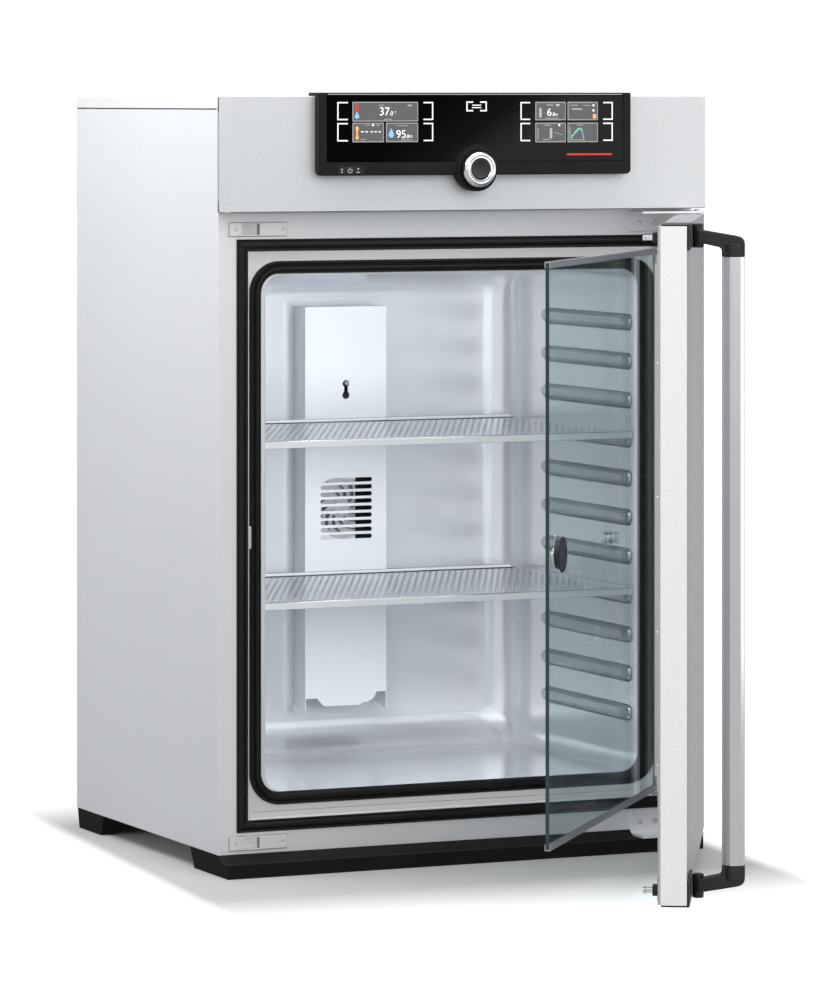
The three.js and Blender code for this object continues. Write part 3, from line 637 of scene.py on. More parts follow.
def rib(side, z1):
    """One pressed bead: rounded ends, a soft top bevel and a front end that ramps back into the wall."""
    z0, y0, y1 = z1 - 20.8, 38.0, 307.0
    wall = side * HW
    loops = []
    for depth, ins, ramp_y in ((-1.2, 0, 0), (0.0, 0, 0), (1.2, 0.5, 0.1), (3.2, 1.7, 0.6), (5.2, 3.1, 2.5), (6.8, 4.3, 10), (7.7, 5.3, 15), (8.0, 6.4, 18)):
        pts = []
        for a, b in rrect(y0 + ins, y1 - ins, z0 + ins * 1.15, z1 - ins * 0.8, (z1 - z0) / 2 - ins * 0.98 - 0.05, 7):
            t = max(0.0, 1 - (a - y0) / 24.0)
            high = (b - z0) / (z1 - z0)
            pts.append((wall - side * depth, a + ramp_y * t * (0.55 + 0.9 * high), b))
        loops.append(pts)
    return rings(loops)


# the beads take the darker copy of the chamber steel: painted shade
piece("right_wall_beads", joined(*[rib(1, z) for z in RIB_TOPS]), "bead", "cabinet", slot="chamber_steel", angle=50)
piece("left_wall_beads", joined(*[rib(-1, z) for z in RIB_TOPS]), "bead", "cabinet", slot="chamber_steel", angle=50)
# a dark ring round each bead: painted shadow along its edge
outlines = []
for side in (-1, 1):
    for z1 in RIB_TOPS:
        z0 = z1 - 20.8
        outlines.append(sheet([rrect(36.6, 308.4, z0 - 1.5, z1 + 1.0, 11.5, 8), rrect(38.4, 306.6, z0 + 0.2, z1 - 0.2, 10.0, 8)], 0.5, 0.1, side_plane(side * (HW - 0.2)), 1))
piece("bead_painted_shadow_rings", joined(*outlines), "bead_groove", "cabinet", slot="chamber_steel", weighted=False)
seams = [sheet([rrect(-238, 238, z - 0.7, z + 0.7, 0.6)], 0.8, 0.3, front_plane(CY1)) for z in (759.3, 149.5)]
piece("chamber_weld_lines", joined(*seams), "chamber", "cabinet", slot="chamber_steel")
# stitched edge of the flange below the opening
dots = []
for i in range(132):
    x = -300 + i * 4.6
    dots.append(sheet([rrect(x, x + 2.3, 80.4, 81.3, 0.4, 2)], 0.5, 0.15, front_plane(FL_Y - 0.05), 1))
piece("flange_stitch_line", joined(*dots), "dark", "cabinet", slot="chamber_steel", weighted=False)


def seal(name, node_name, hw, z0, z1, r, profile, n=10, lip=0.0):
    """A profile of (inward distance, y) swept round a rounded rectangle."""
    loops = []
    for u, y in profile:
        left, right = -hw + u, hw - u - lip * max(0.0, u - 9.0) / 8.0
        loops.append(loop_at(y, (right - left) / 2, z0 + u, z1 - u, max(r - u, 0.6), n, (left + right) / 2))
    return piece(name, rings(loops, wrap=True), "rubber", "cabinet", slot="gasket_rubber", replaces=(node_name,), angle=48)


(GX0, GX1), (GY0, GY1), (GZ0, GZ1) = span("outer_gasket")
seal("outer_door_seal", "outer_gasket", GX1, GZ0, GZ1, 1.2,
     [(0, 0), (0, -1.7), (0.6, -2.5), (1.7, -2.6), (2.6, -1.5), (3.4, -1.5), (4.4, -2.5), (6.2, -3.3), (8.1, -3.6), (10.0, -3.3), (11.8, -2.5), (12.8, -1.5), (13.6, -1.5), (14.5, -2.6), (15.6, -2.5), (16.2, -1.7), (16.2, 0)], n=2)
(GX0, GX1), (GY0, GY1), (GZ0, GZ1) = span("chamber_gasket")
seal("chamber_mouth_seal", "chamber_gasket", GX1, GZ0, GZ1, 44,
     [(0, 18), (0, 14.2), (0.5, 12.6), (1.7, 11.6), (3.2, 11.4), (4.5, 12.3), (5.3, 13.8), (6.2, 13.6), (7.0, 11.6), (8.6, 10.2), (10.6, 9.8), (12.6, 10.2), (14.3, 11.4), (15.6, 13.2), (16.8, 15.6), (17.4, 18)], n=16, lip=8.6)

# fan cover: front with slots and keyholes, two side flanges with feet, top flange
(FX0, FX1), (FY0, FY1), (FZ0, FZ1) = span("fan_cover")
edge = [(FX0, FZ1), (FX0, 184.5), (-46, 184.5)]
edge += [(-46 + 14 * t, 184.5 - 12 * math.sin(t * math.pi / 2) ** 1.4) for t in (0.25, 0.5, 0.75, 1)]
edge += [(22, 172.3), (26, 175.5)]
edge += [(26 + 22 * math.sin(t * math.pi / 2), 175.5 + 14.5 * (1 - math.cos(t * math.pi / 2))) for t in (0.25, 0.5, 0.75, 1)]
edge += [(FX1, 190.5), (FX1, FZ1)]
holes = [rrect(-40, 41, 498 - 10.2 * i - 4.1, 498 - 10.2 * i + 2.0, 3.0, 6) for i in range(9)]
key = []
for i in range(15):
    a = math.radians(-60 + 300 * i / 14)
    key.append((5.3 * math.cos(a), 635.5 + 5.3 * math.sin(a)))
for i in range(15):
    a = math.radians(120 + 300 * i / 14)
    key.append((5.6 * math.cos(a), 619 + 5.6 * math.sin(a)))
holes.append(key)
parts = [sheet([edge] + holes, 1.2, 0.25, front_plane(FY0 + 0.6))]
for x, s in ((FX0 + 0.6, -1), (FX1 - 0.6, 1)):
    parts.append(sheet([[(FY0 + 0.3, FZ1 - 0.3), (FY0 + 0.3, 166.5), (FY0 + 4, 166.5), (CY1 - 4, 172.5), (CY1 - 0.2, 173.5), (CY1 - 0.2, FZ1 - 0.3)]], 1.2, 0.25, side_plane(x)))
parts.append(sheet([rrect(FX0 + 0.4, FX1 - 0.4, FY0 + 0.4, CY1 - 0.2, 0.5, 2)], 1.2, 0.25, flat_plane(FZ1 - 0.6)))
piece("fan_cover_sheet", joined(*parts), "cover", "cabinet", slot="chamber_steel", replaces=("fan_cover",), angle=30)
piece("fan_cover_stud", lathe([(0, 3.8), (1.6, 3.6), (2.9, 2.6), (3.5, 1.0), (3.3, -0.6), (2.0, -1.6), (1.9, -24), (0, -24)], 32, axis_at(0.9, FY0 + 0.4, 636, (0, -1, 0))), "chrome", "cabinet", slot="bright_steel")
cad_copy("gas_probe", "gas_probe_body", "black", "cabinet", bevel=0.5, slot="black_plastic")
cad_copy("fan_motor", "fan_motor_body", "motor", "cabinet", bevel=1.0, slot="satin_aluminium")
piece("fan_chamber_shroud", lathe([(58, 0), (59, 0), (59, 30), (4.6, 30), (4.6, 29), (58, 29)], 64, axis_at(0, CY1 - 31, 456, (0, 1, 0)), closed=True), "fan_back", "cabinet", slot="black_plastic")
piece("fan_orifice_plate", sheet([rrect(-62, 62, 392, 520, 4, 4), rrect(-50, 17.5, 402, 510, 7, 8)], 0.8, 0.2, front_plane(388.6)), "dark", "cabinet", slot="black_plastic")


# impeller: back disc, hub, curved blades and a front ring
def impeller():
    c = (0, 392, 456)
    out = [lathe([(0, 12.6), (13, 12.6), (43.5, 13.6), (44.2, 14.2), (43.6, 14.8), (13, 15.6), (4, 15.8), (4, 32), (0, 32)], 72, axis_at(*c, (0, 1, 0))),
           lathe([(0, 1.5), (6, 1.6), (10.5, 2.6), (13.2, 5.2), (14, 8.5), (14, 13), (0, 13)], 48, axis_at(*c, (0, 1, 0))),
           lathe([(38.5, 0.3), (44, 0.3), (44.4, 1.1), (44, 1.9), (38.5, 1.9), (38.1, 1.1)], 72, axis_at(*c, (0, 1, 0)), closed=True)]
    for k in range(11):
        loops = []
        for j in range(9):
            t = j / 8
            r = 15 + 28 * t
            a = 2 * math.pi * k / 11 + 0.95 * t ** 1.3
            w = 0.55
            ring = []
            for dr, dy in ((-w, 1.2), (w, 1.2), (w, 13.2), (-w, 13.2)):
                th = a + dr / r * 1.6
                ring.append((r * math.cos(th), 392 + dy + (4.5 * (1 - t) if dy < 6 else 0), 456 + r * math.sin(th)))
            loops.append(ring)
        out.append(rings(loops))
    return joined(*out[:3]), joined(*out[3:])


wheel, blades = impeller()
piece("fan_wheel", wheel, "fan", "fan", slot="satin_aluminium", replaces=("fan_impeller",), angle=35)
# the blades take the same dark grey: painted shade behind the cover
piece("fan_blades", blades, "bead_groove", "fan", slot="satin_aluminium", angle=35)

# access port plug on the right wall
(PX0, PX1), (PY0, PY1), (PZ0, PZ1) = span("chamber_port_plug")
plug = lathe([(0, -2), (9.2, -2), (9.3, 0.6), (9.0, 1.6), (7.2, 2.2), (6.3, 2.8), (6.1, 4.6), (6.4, 5.4), (7.9, 5.8), (8.4, 6.4), (8.5, 7.2), (8.1, 7.6), (8.1, 8.0), (8.5, 8.4), (8.5, 9.6), (8.1, 10.0), (8.1, 10.4), (8.3, 10.9), (7.9, 11.8), (6.4, 12.5), (3, 12.8), (0, 12.8)],
             56, axis_at(HW, mid((PY0, PY1)), mid((PZ0, PZ1)), (-1, 0, 0)))
piece("port_plug", plug, "chrome", "cabinet", slot="bright_steel", replaces=("chamber_port_plug",), angle=28)

# ------------------------------------------------------------------ keepers, strike, hinges
for tag in ("upper", "lower"):
    (KX0, KX1), (KY0, KY1), (KZ0, KZ1) = span(tag + "_keeper")
    kz = mid((KZ0, KZ1))
    plate = sheet([rrect(KX0, KX1, KZ0, KZ1, 1.2, 4), rrect(-325.8, -299, kz - 7.6, kz + 7.6, 0.8, 3), circle(-334.7, kz, 2.3, 24), circle(-266, kz, 2.3, 24)], 2.0, 0.35, front_plane(-1.0))
    piece(tag + "_keeper_plate", plate, "frame", "cabinet", slot="frame_steel", replaces=(tag + "_keeper",), angle=30)
    piece(tag + "_keeper_outline", sheet([rrect(KX0 - 0.9, KX1 + 0.9, KZ0 - 0.9, KZ1 + 0.9, 1.6, 4), rrect(KX0 - 0.1, KX1 + 0.1, KZ0 - 0.1, KZ1 + 0.1, 1.2, 4)], 0.4, 0.1, front_plane(-0.2)), "groove", "cabinet", slot="frame_steel", weighted=False)
    # the pocket behind each slot glows in its material: painted light
    pocket = []
    for x0, x1, z0, z1 in ((-336, -335, kz - 9.4, kz + 9.4), (-297, -296, kz - 9.4, kz + 9.4), (-335, -297, kz - 9.4, kz - 8.4), (-335, -297, kz + 8.4, kz + 9.4)):
        pocket.append(block(x0, x1, 2.2, 24.8, z0, z1))
    pocket.append(block(-336, -296, 24.8, 25.6, kz - 9.4, kz + 9.4))
    piece(tag + "_keeper_pocket", joined(*pocket), "pocket", "cabinet", slot="frame_steel", weighted=False)
    # thin dark strips along the slot's top and bottom and down the pocket's right wall: painted shade
    piece(tag + "_keeper_slot_painted_shade", joined(block(-324.5, -301.5, 0.4, 1.4, kz + 7.25, kz + 7.58), block(-324.5, -301.5, 0.4, 1.4, kz - 7.58, kz - 7.25), block(-297.6, -297.02, 2.4, 11.5, kz - 8.2, kz + 8.2)), "groove", "cabinet", slot="frame_steel", weighted=False)
    heads = []
    for x in (-334.7, -266):
        heads.append(lathe([(0, 0.5), (0.7, 0.6), (0.8, 1.35), (1.7, 1.3), (2.15, 0.9), (2.2, -1.0), (0, -1.0)], 24, axis_at(x, -0.6, kz, (0, -1, 0))))
    piece(tag + "_keeper_screws", joined(*heads), "bright", "cabinet", slot="bright_steel")
    cad_copy(tag + "_hinge_bracket", tag + "_hinge_leaf", "frame", "cabinet", bevel=0.6, slot="bright_steel")
    (BX0, BX1), (BY0, BY1), (BZ0, BZ1) = span(tag + "_hinge_bracket")
    zc = 873.5 if tag == "upper" else 38.0
    heads = [lathe([(0, 0.03), (1.5, 0.03), (1.7, 0.12), (3.0, 0.14), (3.9, 0.07), (4.0, -0.4), (0, -0.4)], 28, axis_at(x, -3, zc, (0, -1, 0))) for x in (276, 300, 326)]
    piece(tag + "_hinge_screws", joined(*heads), "bright", "cabinet", slot="bright_steel")
    (AX0, AX1), (AY0, AY1), (AZ0, AZ1) = span(tag + "_door_pin")
    r = (AX1 - AX0) / 2
    piece(tag + "_hinge_pin", lathe([(0, AZ0), (r - 0.5, AZ0), (r, AZ0 + 0.5), (r, AZ1 - 0.5), (r - 0.5, AZ1), (0, AZ1)], 40, axis_at(mid((AX0, AX1)), mid((AY0, AY1)), 0, (0, 0, 1))), "bright", "cabinet", slot="bright_steel", replaces=(tag + "_door_pin",))
    cad_copy("glass_" + tag + "_pivot", "glass_" + tag + "_pivot_post", "bright", "cabinet", bevel=0.35, slot="bright_steel")
cad_copy("glass_strike", "glass_latch_strike", "bright", "cabinet", bevel=0.4, slot="bright_steel")

# ------------------------------------------------------------------ control panel
(BX0, BX1), (BY0, BY1), (BZ0, BZ1) = span("control_bezel")
BZ0 = BZ0 + 21.2                               # the flat plate starts above the boss's lowest point
(SX0, SX1), (SY0, SY1), (SZ0, SZ1) = span("screen_glass")
(NX0, NX1), (NY0, NY1), (NZ0, NZ1) = span("knob_ring")
KZ = mid((NZ0, NZ1))
HEAD_Y = span("header_housing")[1][0]


def arc_about(cx, cz, r, a0, a1, n):
    return [(cx + r * math.cos(math.radians(a0 + (a1 - a0) * i / n)), cz + r * math.sin(math.radians(a0 + (a1 - a0) * i / n))) for i in range(n + 1)]


PF = -55.0                                     # panel front
cut_r = 34.5
dz = SZ0 - 0.5 - KZ
ang = math.degrees(math.asin(dz / cut_r))
window = [(SX0 - 0.5, SZ1 + 0.4), (SX0 - 0.5, SZ0 - 0.5)] + arc_about(0, KZ, cut_r, 180 - ang, ang, 28) + [(SX1 + 0.5, SZ0 - 0.5), (SX1 + 0.5, SZ1 + 0.4)]
frame_part = sheet([rrect(BX0, BX1, BZ0, BZ1 - 0.4, 5, 6, (7, 7, 2.2, 2.2)), window], HEAD_Y - PF, 1.3, front_plane((HEAD_Y + PF) / 2), 3)
back = sheet([rrect(BX0 + 3, BX1 - 3, BZ0 + 3, BZ1 - 4, 3, 3)], 3.0, 0.3, front_plane(HEAD_Y - 5.5))
boss = lathe([(14.7, 14), (29.2, 14), (29.8, 14.6), (30.2, 15.2), (30.2, 16.0), (29.6, 17.0), (28.4, 17.5), (27.2, 17.4), (26.4, 16.6), (25.6, 16.5), (14.7, 16.5)], 96, axis_at(0, HEAD_Y, KZ, (0, -1, 0)), closed=True)
skirt = lathe([(27, 0.2), (29.4, 0.2), (30.0, 1.0), (30.0, 15.4), (27, 15.4)], 96, axis_at(0, HEAD_Y, KZ, (0, -1, 0)), closed=True)
piece("panel_bezel", joined(frame_part, back, boss, skirt), "bezel", "cabinet", slot="gloss_black", replaces=("control_bezel",), angle=40)
(TX0, TX1), (TY0, TY1), (TZ0, TZ1) = (BX0 + 0.3, BX1 - 0.3), (-40.0, -19.0), (1049.3, 1054.0)
piece("panel_rear_flange", joined(block(TX0, TX1, TY0, TY1, TZ0, TZ1)), "bezel", "cabinet", slot="gloss_black", bevel=0.8)
top_line = sheet([rrect(SX0 + 1, SX1 - 1, SZ1 + 1.6, SZ1 + 2.5, 0.4, 2)], 0.5, 0.12, front_plane(PF - 0.05), 1)
piece("panel_top_highlight", top_line, "grey", "cabinet", slot="gloss_black", weighted=False)
dz = SZ0 - KZ
ang = math.degrees(math.asin(dz / (cut_r - 0.7)))
glass_edge_line = [(SX0, SZ1), (SX0, SZ0)] + arc_about(0, KZ, cut_r - 0.7, 180 - ang, ang, 28) + [(SX1, SZ0), (SX1, SZ1)]
piece("panel_window", joined(sheet([[(SX0, SZ1), (SX0, SZ0)] + arc_about(0, KZ, cut_r - 0.9, 180 - ang, ang, 28) + [(SX1, SZ0), (SX1, SZ1)]], 2.2, 0.25, front_plane(PF + 1.15))), "gloss", "cabinet", slot="gloss_black", replaces=("screen_glass",), angle=30)
cad_copy("display_module", "display_unit", "dark", "cabinet", bevel=0.4, slot="gloss_black")
cad_copy("control_board", "control_circuit_board", "board", "cabinet", slot="circuit_board")

PLANE = PF - 0.02


def decal(name, outlines, material, lift=0.0, thick=0.16):
    out = [sheet([o] if not isinstance(o[0][0], tuple) else list(o), thick, 0.03, front_plane(PLANE - lift), 0) for o in outlines]
    return piece(name, joined(*out), material, "cabinet", slot="gloss_black", weighted=False, angle=30)


def bracket(x0, x1, z0, z1, w, open_right):
    if open_right:
        return [(x0, z0), (x1, z0), (x1, z0 + w), (x0 + w, z0 + w), (x0 + w, z1 - w), (x1, z1 - w), (x1, z1), (x0, z1)]
    return [(x1, z0), (x1, z1), (x0, z1), (x0, z1 - w), (x1 - w, z1 - w), (x1 - w, z0 + w), (x0, z0 + w), (x0, z0)]


def box2(x0, x1, z0, z1):
    return rrect(x0, x1, z0, z1, 0.0)


def figures(text, x, z, h, width=1.0):
    """Figures of height h with their lower left corner at x, z, as a thin flat mesh."""
    cu = bpy.data.curves.new("t", "FONT")
    cu.body = text
    cu.size = h / 0.69 * MM
    cu.extrude = 0.08 * MM
    ob = bpy.data.objects.new("t", cu)
    bpy.context.scene.collection.objects.link(ob)
    dg = bpy.context.evaluated_depsgraph_get()
    me = bpy.data.meshes.new_from_object(ob.evaluated_get(dg), depsgraph=dg)
    bpy.data.objects.remove(ob)
    bpy.data.curves.remove(cu)
    me.materials.clear()
    me.transform(front_plane(PLANE - 0.16) @ Matrix.Translation((x * MM, z * MM, 0)) @ Matrix.Scale(width, 4, (1, 0, 0)))
    return me


tiles = [(-185.9, -88.9, 1015.2, 1041.3), (-185.9, -139.8, 987.2, 1013.0), (-136.2, -88.9, 987.2, 1013.0), (88.7, 134.6, 1016.4, 1041.2), (138.0, 184.1, 1016.4, 1041.2), (88.7, 134.6, 986.2, 1012.5), (138.0, 184.1, 986.2, 1012.5)]
decal("display_tile_frames", [(rrect(a - 0.2, b + 0.2, c - 0.2, d + 0.2, 0.6, 2), rrect(a + 1.1, b - 0.8, c + 1.0, d - 1.1, 0.3, 2)) for a, b, c, d in tiles], "tile_edge", 0.06)
decal("display_tiles", [rrect(a, b, c, d, 0.5, 2) for a, b, c, d in tiles], "tile", 0.0)
decal("display_brackets", [bracket(-208.5, -192.9, 1016.8, 1041.3, 1.7, True), bracket(-208.5, -192.9, 988.2, 1012.9, 1.7, True), bracket(-80.4, -66.0, 1016.8, 1041.3, 1.7, False), bracket(-80.4, -66.0, 988.2, 1012.9, 1.7, False),
                           bracket(65.9, 80.6, 1016.6, 1041.2, 1.7, True), bracket(65.9, 80.6, 987.6, 1012.6, 1.7, True), bracket(192.5, 207.3, 1016.6, 1041.2, 1.7, False), bracket(192.5, 207.3, 987.6, 1012.6, 1.7, False),
                           bracket(-16.1, -6.0, 1028.5, 1042.0, 1.8, True), bracket(4.6, 14.7, 1028.5, 1042.0, 1.8, False)], "white", 0.02)
figure_meshes = [figures("37", -146.8, 1023.2, 11.0), figures(".0", -131.6, 1023.2, 5.6), figures("95", -121.6, 992.6, 10.6), figures(".0", -106.9, 992.6, 4.8), figures("6", 106.0, 1022.2, 10.4), figures(".0", 113.6, 1022.2, 4.8), figures("100", 119.5, 1035.6, 2.6)]
piece("display_figures", joined(*figure_meshes), "white", "cabinet", slot="gloss_black", weighted=False, angle=30)
numbers = [circle(-122.6, 1027.8, 0.9, 12)]
numbers += [box2(-173.5 + 6.4 * i, -169.7 + 6.4 * i, 1000.4, 1001.8) for i in range(2)] + [box2(-159.5 + 6.0 * i, -156.0 + 6.0 * i, 1000.4, 1001.8) for i in range(3)]
numbers += [circle(-155.6, 1010.0, 1.5, 16), circle(125.0, 1009.4, 1.6, 16), circle(177.5, 1036.6, 1.5, 16), circle(177.5, 1029.6, 1.6, 16)]
numbers += [box2(-7.5, 6.3, 1033.0, 1034.2), box2(-7.5, 6.3, 1036.3, 1037.5)]
decal("display_numbers", numbers, "white", 0.14)
small = [box2(-147.5, -139.5, 1036.6, 1037.4), box2(-139.5, -128, 1017.6, 1018.4), box2(-104, -98, 1035.6, 1037.6), box2(-120, -104, 1008.8, 1009.5), box2(-167.5, -159, 1009.6, 1010.3), box2(-150.5, -146, 1009.4, 1010.6), box2(-175, -166, 990.3, 991.1), box2(-114, -98, 989.6, 990.4), box2(-116.0 + 11, -97, 993.0, 996.4),
         box2(106, 116, 1036.4, 1037.6), box2(104, 124, 1018.6, 1019.4), box2(116.5, 123.0, 1022.2, 1025.4), box2(141.5, 154, 1036.2, 1037.0), box2(162, 173, 1036.2, 1037.0), box2(144, 160, 1030.6, 1032.4),
         rrect(94.2, 98.0, 1019.5, 1033.5, 1.6, 4), box2(102, 112, 1009.0, 1009.8), box2(152, 162, 1009.0, 1009.8), box2(92.0, 93.0, 989.5, 1005.0), box2(100.0, 110.0, 989.6, 990.4), rrect(110.5, 114.2, 991.0, 1005.5, 1.5, 4)]
small += [box2(118.0 + 4.2 * i, 121.0 + 4.2 * i, 998.6 - 1.2 * i, 999.5 - 1.2 * i) for i in range(3)]
small += [box2(141.0, 142.0, 989.0, 1006.5), box2(142.0, 164.0, 988.8, 989.6)]
decal("display_small_marks", small, "grey", 0.14)


def stroke(points, w):
    """A thin line through points, as one outline."""
    left, right = [], []
    for i, (x, z) in enumerate(points):
        a, b = points[max(i - 1, 0)], points[min(i + 1, len(points) - 1)]
        d = math.hypot(b[0] - a[0], b[1] - a[1]) or 1
        nx, nz = -(b[1] - a[1]) / d * w / 2, (b[0] - a[0]) / d * w / 2
        left.append((x + nx, z + nz))
        right.append((x - nx, z - nz))
    return left + right[::-1]


decal("display_curve_a", [stroke([(143, 994), (147, 996), (150, 1001), (154, 1004.5), (158, 1005), (161, 1002)], 1.1)], "green", 0.2)
decal("display_curve_b", [stroke([(143.5, 991), (148, 998.5), (152, 1000), (156, 1006), (160.0, 1000), (163, 990.5)], 1.0)], "blue", 0.26)
decal("thermometer_stem", [rrect(-181.6, -177.4, 1027.5, 1039.0, 2.0, 5)], "red", 0.14)
decal("thermometer_bulb", [circle(-179.5, 1021.8, 3.2, 28), rrect(-181.0, -178.0, 1024.4, 1027.2, 0.3, 2)], "blue", 0.14)
drop = [(-128.6, 1006.0)] + [(-128.6 + 4.0 * math.sin(math.radians(a)), 997.0 - 4.0 * math.cos(math.radians(a))) for a in range(100, -101, -20)]
decal("humidity_drop", [drop], "blue", 0.14)
decal("amber_marks", [rrect(-181.6, -177.0, 990.5, 996.2, 2.0, 5), rrect(-181.6, -177.0, 1002.3, 1008.6, 2.0, 5), rrect(-180.6, -178.0, 996.4, 1002.0, 0.6, 3), rrect(176.6, 181.8, 1018.4, 1024.6, 1.6, 5)], "amber", 0.14)
decal("status_strip", [rrect(-207.5, -168.5, 943.6, 955.0, 0.8, 3)], "dark", 0.02)
ring_gap = [(x, z) for x, z in arc_about(-189.6, 948.6, 3.4, 125, 415, 26)]
ring_gap += [(x, z) for x, z in arc_about(-189.6, 948.6, 2.5, 415, 125, 26)]
decal("status_symbols", [ring_gap, box2(-190.05, -189.15, 948.8, 953.0), box2(-203.4, -200.2, 950.2, 951.2), box2(-203.4, -200.2, 945.8, 946.8), circle(-201.8, 948.5, 0.9, 12), circle(-177.6, 951.0, 1.3, 14), box2(-180.2, -175.0, 946.0, 947.2)], "grey", 0.12)
decal("accent_bar", [rrect(136.5, 206.5, 968.0, 970.6, 1.2, 4)], "red", 0.02)

# knob: turned ring with a bright lip, and a dished button
ring_profile = [(14.25, 0), (21.4, 0), (22.4, 0.3), (23.8, 1.2), (24.5, 2.4), (24.6, 4.0), (24.3, 6.2), (23.4, 8.0), (22.2, 9.4), (20.8, 10.2), (19.4, 10.5), (18.4, 10.2), (17.7, 9.6), (17.0, 9.7), (16.2, 10.0), (15.3, 9.9), (14.6, 9.2), (14.25, 8.2)]
piece("knob_chrome_ring", lathe(ring_profile, 128, axis_at(0, NY1, KZ, (0, -1, 0)), closed=True), "chrome", "control_knob", slot="bright_steel", replaces=("knob_ring",), angle=30)
(UX0, UX1), (UY0, UY1), (UZ0, UZ1) = span("knob_button")
ur = (UX1 - UX0) / 2
top = UY1 - UY0
piece("knob_cap", lathe([(0, 3.4), (3.9, 3.4), (3.9, top - 6.7), (ur - 0.4, top - 6.7), (ur, top - 6.2), (ur, top - 0.9), (ur - 0.4, top - 0.25), (ur - 1.2, top), (ur - 2.2, top - 0.25), (9, top - 1.0), (5, top - 1.35), (0, top - 1.5)], 96, axis_at(0, UY1, KZ, (0, -1, 0))), "black", "knob_push_button", slot="black_plastic", replaces=("knob_button",), angle=35)

# ------------------------------------------------------------------ services inside and at the back
cad_copy("cabinet_insulation", "cabinet_wool", "wool", "cabinet", bevel=2.0, slot="mineral_wool")
cad_copy("chamber_heater", "chamber_heater_mat", "foil", "cabinet", slot="heater_foil")
cad_copy("power_supply", "power_supply_case", "motor", "cabinet", bevel=1.0, slot="satin_aluminium")
cad_copy("gas_valve", "gas_valve_body", "motor", "cabinet", bevel=0.8, slot="satin_aluminium")
cad_copy("gas_inlet", "gas_inlet_nipple", "bright", "cabinet", bevel=0.6, slot="bright_steel")
cad_copy("mains_inlet", "mains_socket", "black", "cabinet", bevel=0.9, slot="black_plastic")
(MX0, MX1), (MY0, MY1), (MZ0, MZ1) = span("mains_inlet")
mx, mz = mid((MX0, MX1)), mid((MZ0, MZ1))
piece("mains_socket_rim", sheet([rrect(mx - 14, mx + 14, mz - 10.5, mz + 10.5, 3, 5), rrect(mx - 12, mx + 12, mz - 8.5, mz + 8.5, 2, 5)], 2.4, 0.4, front_plane(MY1 + 1.0)), "black", "cabinet", slot="black_plastic")
piece("mains_socket_pins", joined(*[block(mx + dx - 1, mx + dx + 1, MY1 - 1, MY1 + 2.0, mz + dz0 - 2.6, mz + dz0 + 2.6) for dx, dz0 in ((-7, -1.5), (0, 2.2), (7, -1.5))]), "chrome", "cabinet", bevel=0.3, slot="bright_steel")

# ------------------------------------------------------------------ feet
for n, new in (("front_left_foot", "left_foot_moulding"), ("front_right_foot", "right_foot_moulding"), ("front_plinth", "plinth_moulding"), ("rear_foot_bar", "rear_foot_moulding")):
    cad_copy(n, new, "foot", "cabinet", bevel=0.9, segments=3, slot="black_plastic")

# ------------------------------------------------------------------ outer door
door_pan = cad_copy("door_outer_panel", "door_pan", ["door", "door_edge_lit_copy"], "outer_door", DOOR, bevel=1.1, segments=3, slot="linen_steel")
# faces turned to the left, the door's folded free edge, take the brighter copy of the door steel: painted light
edge_way = (DOOR.to_3x3() @ Vector((-1, 0, 0))).normalized()
for p in door_pan.data.polygons:
    if p.normal.dot(edge_way) > 0.7:
        p.material_index = 1
cad_copy("door_inner_panel", "door_inner_sheet", "door_inner", "outer_door", DOOR, bevel=0.5, slot="chamber_steel")
cad_copy("door_insulation", "door_wool", "wool", "outer_door", DOOR, slot="mineral_wool")
cad_copy("door_heater", "door_heater_mat", "foil", "outer_door", DOOR, slot="heater_foil")
(DX0, DX1), (DY0, DY1), (DZ0, DZ1) = span("door_inner_panel", DOOR)
bead = [loop_at(y, 243 - u, 76 + u, 838 - u, 22 - u, 8) for u, y in ((0, DY1 - 0.2), (0, DY1 + 0.1), (1.2, DY1 + 0.8), (3.5, DY1 + 1.2), (5.8, DY1 + 0.8), (7.0, DY1 + 0.1), (7.0, DY1 - 0.2))]
piece("door_inner_bead", rings(bead, wrap=True), "door_inner", "outer_door", DOOR, slot="chamber_steel", angle=50)
(IX0, IX1), (IY0, IY1), (IZ0, IZ1) = span("glass_latch_knob", GLASS)
lx, lz = mid((IX0, IX1)), mid((IZ0, IZ1))
POCKET_R = 32.0
piece("door_pocket_ring", lathe([(POCKET_R - 2.2, -6), (POCKET_R - 0.2, -6), (POCKET_R - 0.1, -0.7), (POCKET_R - 0.5, -0.25), (POCKET_R - 1.3, -0.1), (POCKET_R - 2.0, -0.5)], 72, axis_at(lx, DY1, lz, (0, 1, 0)), closed=True), "black", "outer_door", DOOR, slot="black_plastic", angle=50)
rivets = [lathe([(0, 1.7), (1.0, 1.6), (2.0, 1.1), (2.6, 0.4), (2.7, -0.4), (0, -0.4)], 24, axis_at(-354.6, DY1, z, (0, 1, 0))) for z in (711.8, 543, 373, 205.5)]
rivets += [lathe([(0, 1.7), (1.0, 1.6), (2.0, 1.1), (2.6, 0.4), (2.7, -0.4), (0, -0.4)], 24, axis_at(352.0, DY1, z, (0, 1, 0))) for z in (711.8, 543, 373, 205.5)]
piece("door_edge_rivets", joined(*rivets), "chrome", "outer_door", DOOR, slot="bright_steel", angle=50)
plugs = [lathe([(0, 0.9), (1.6, 0.8), (2.4, 0.3), (2.5, -0.3), (0, -0.3)], 20, axis_at(-354.8, DY1, z, (0, 1, 0))) for z in (853.4, 61.4)]
piece("door_edge_plugs", joined(*plugs), "black", "outer_door", DOOR, slot="black_plastic", angle=50)
cad_copy("upper_corner_cap", "upper_corner_cover", "black", "outer_door", DOOR, bevel=0.9, segments=3, slot="black_plastic")
cad_copy("lower_corner_cap", "lower_corner_cover", "black", "outer_door", DOOR, bevel=0.9, segments=3, slot="black_plastic")

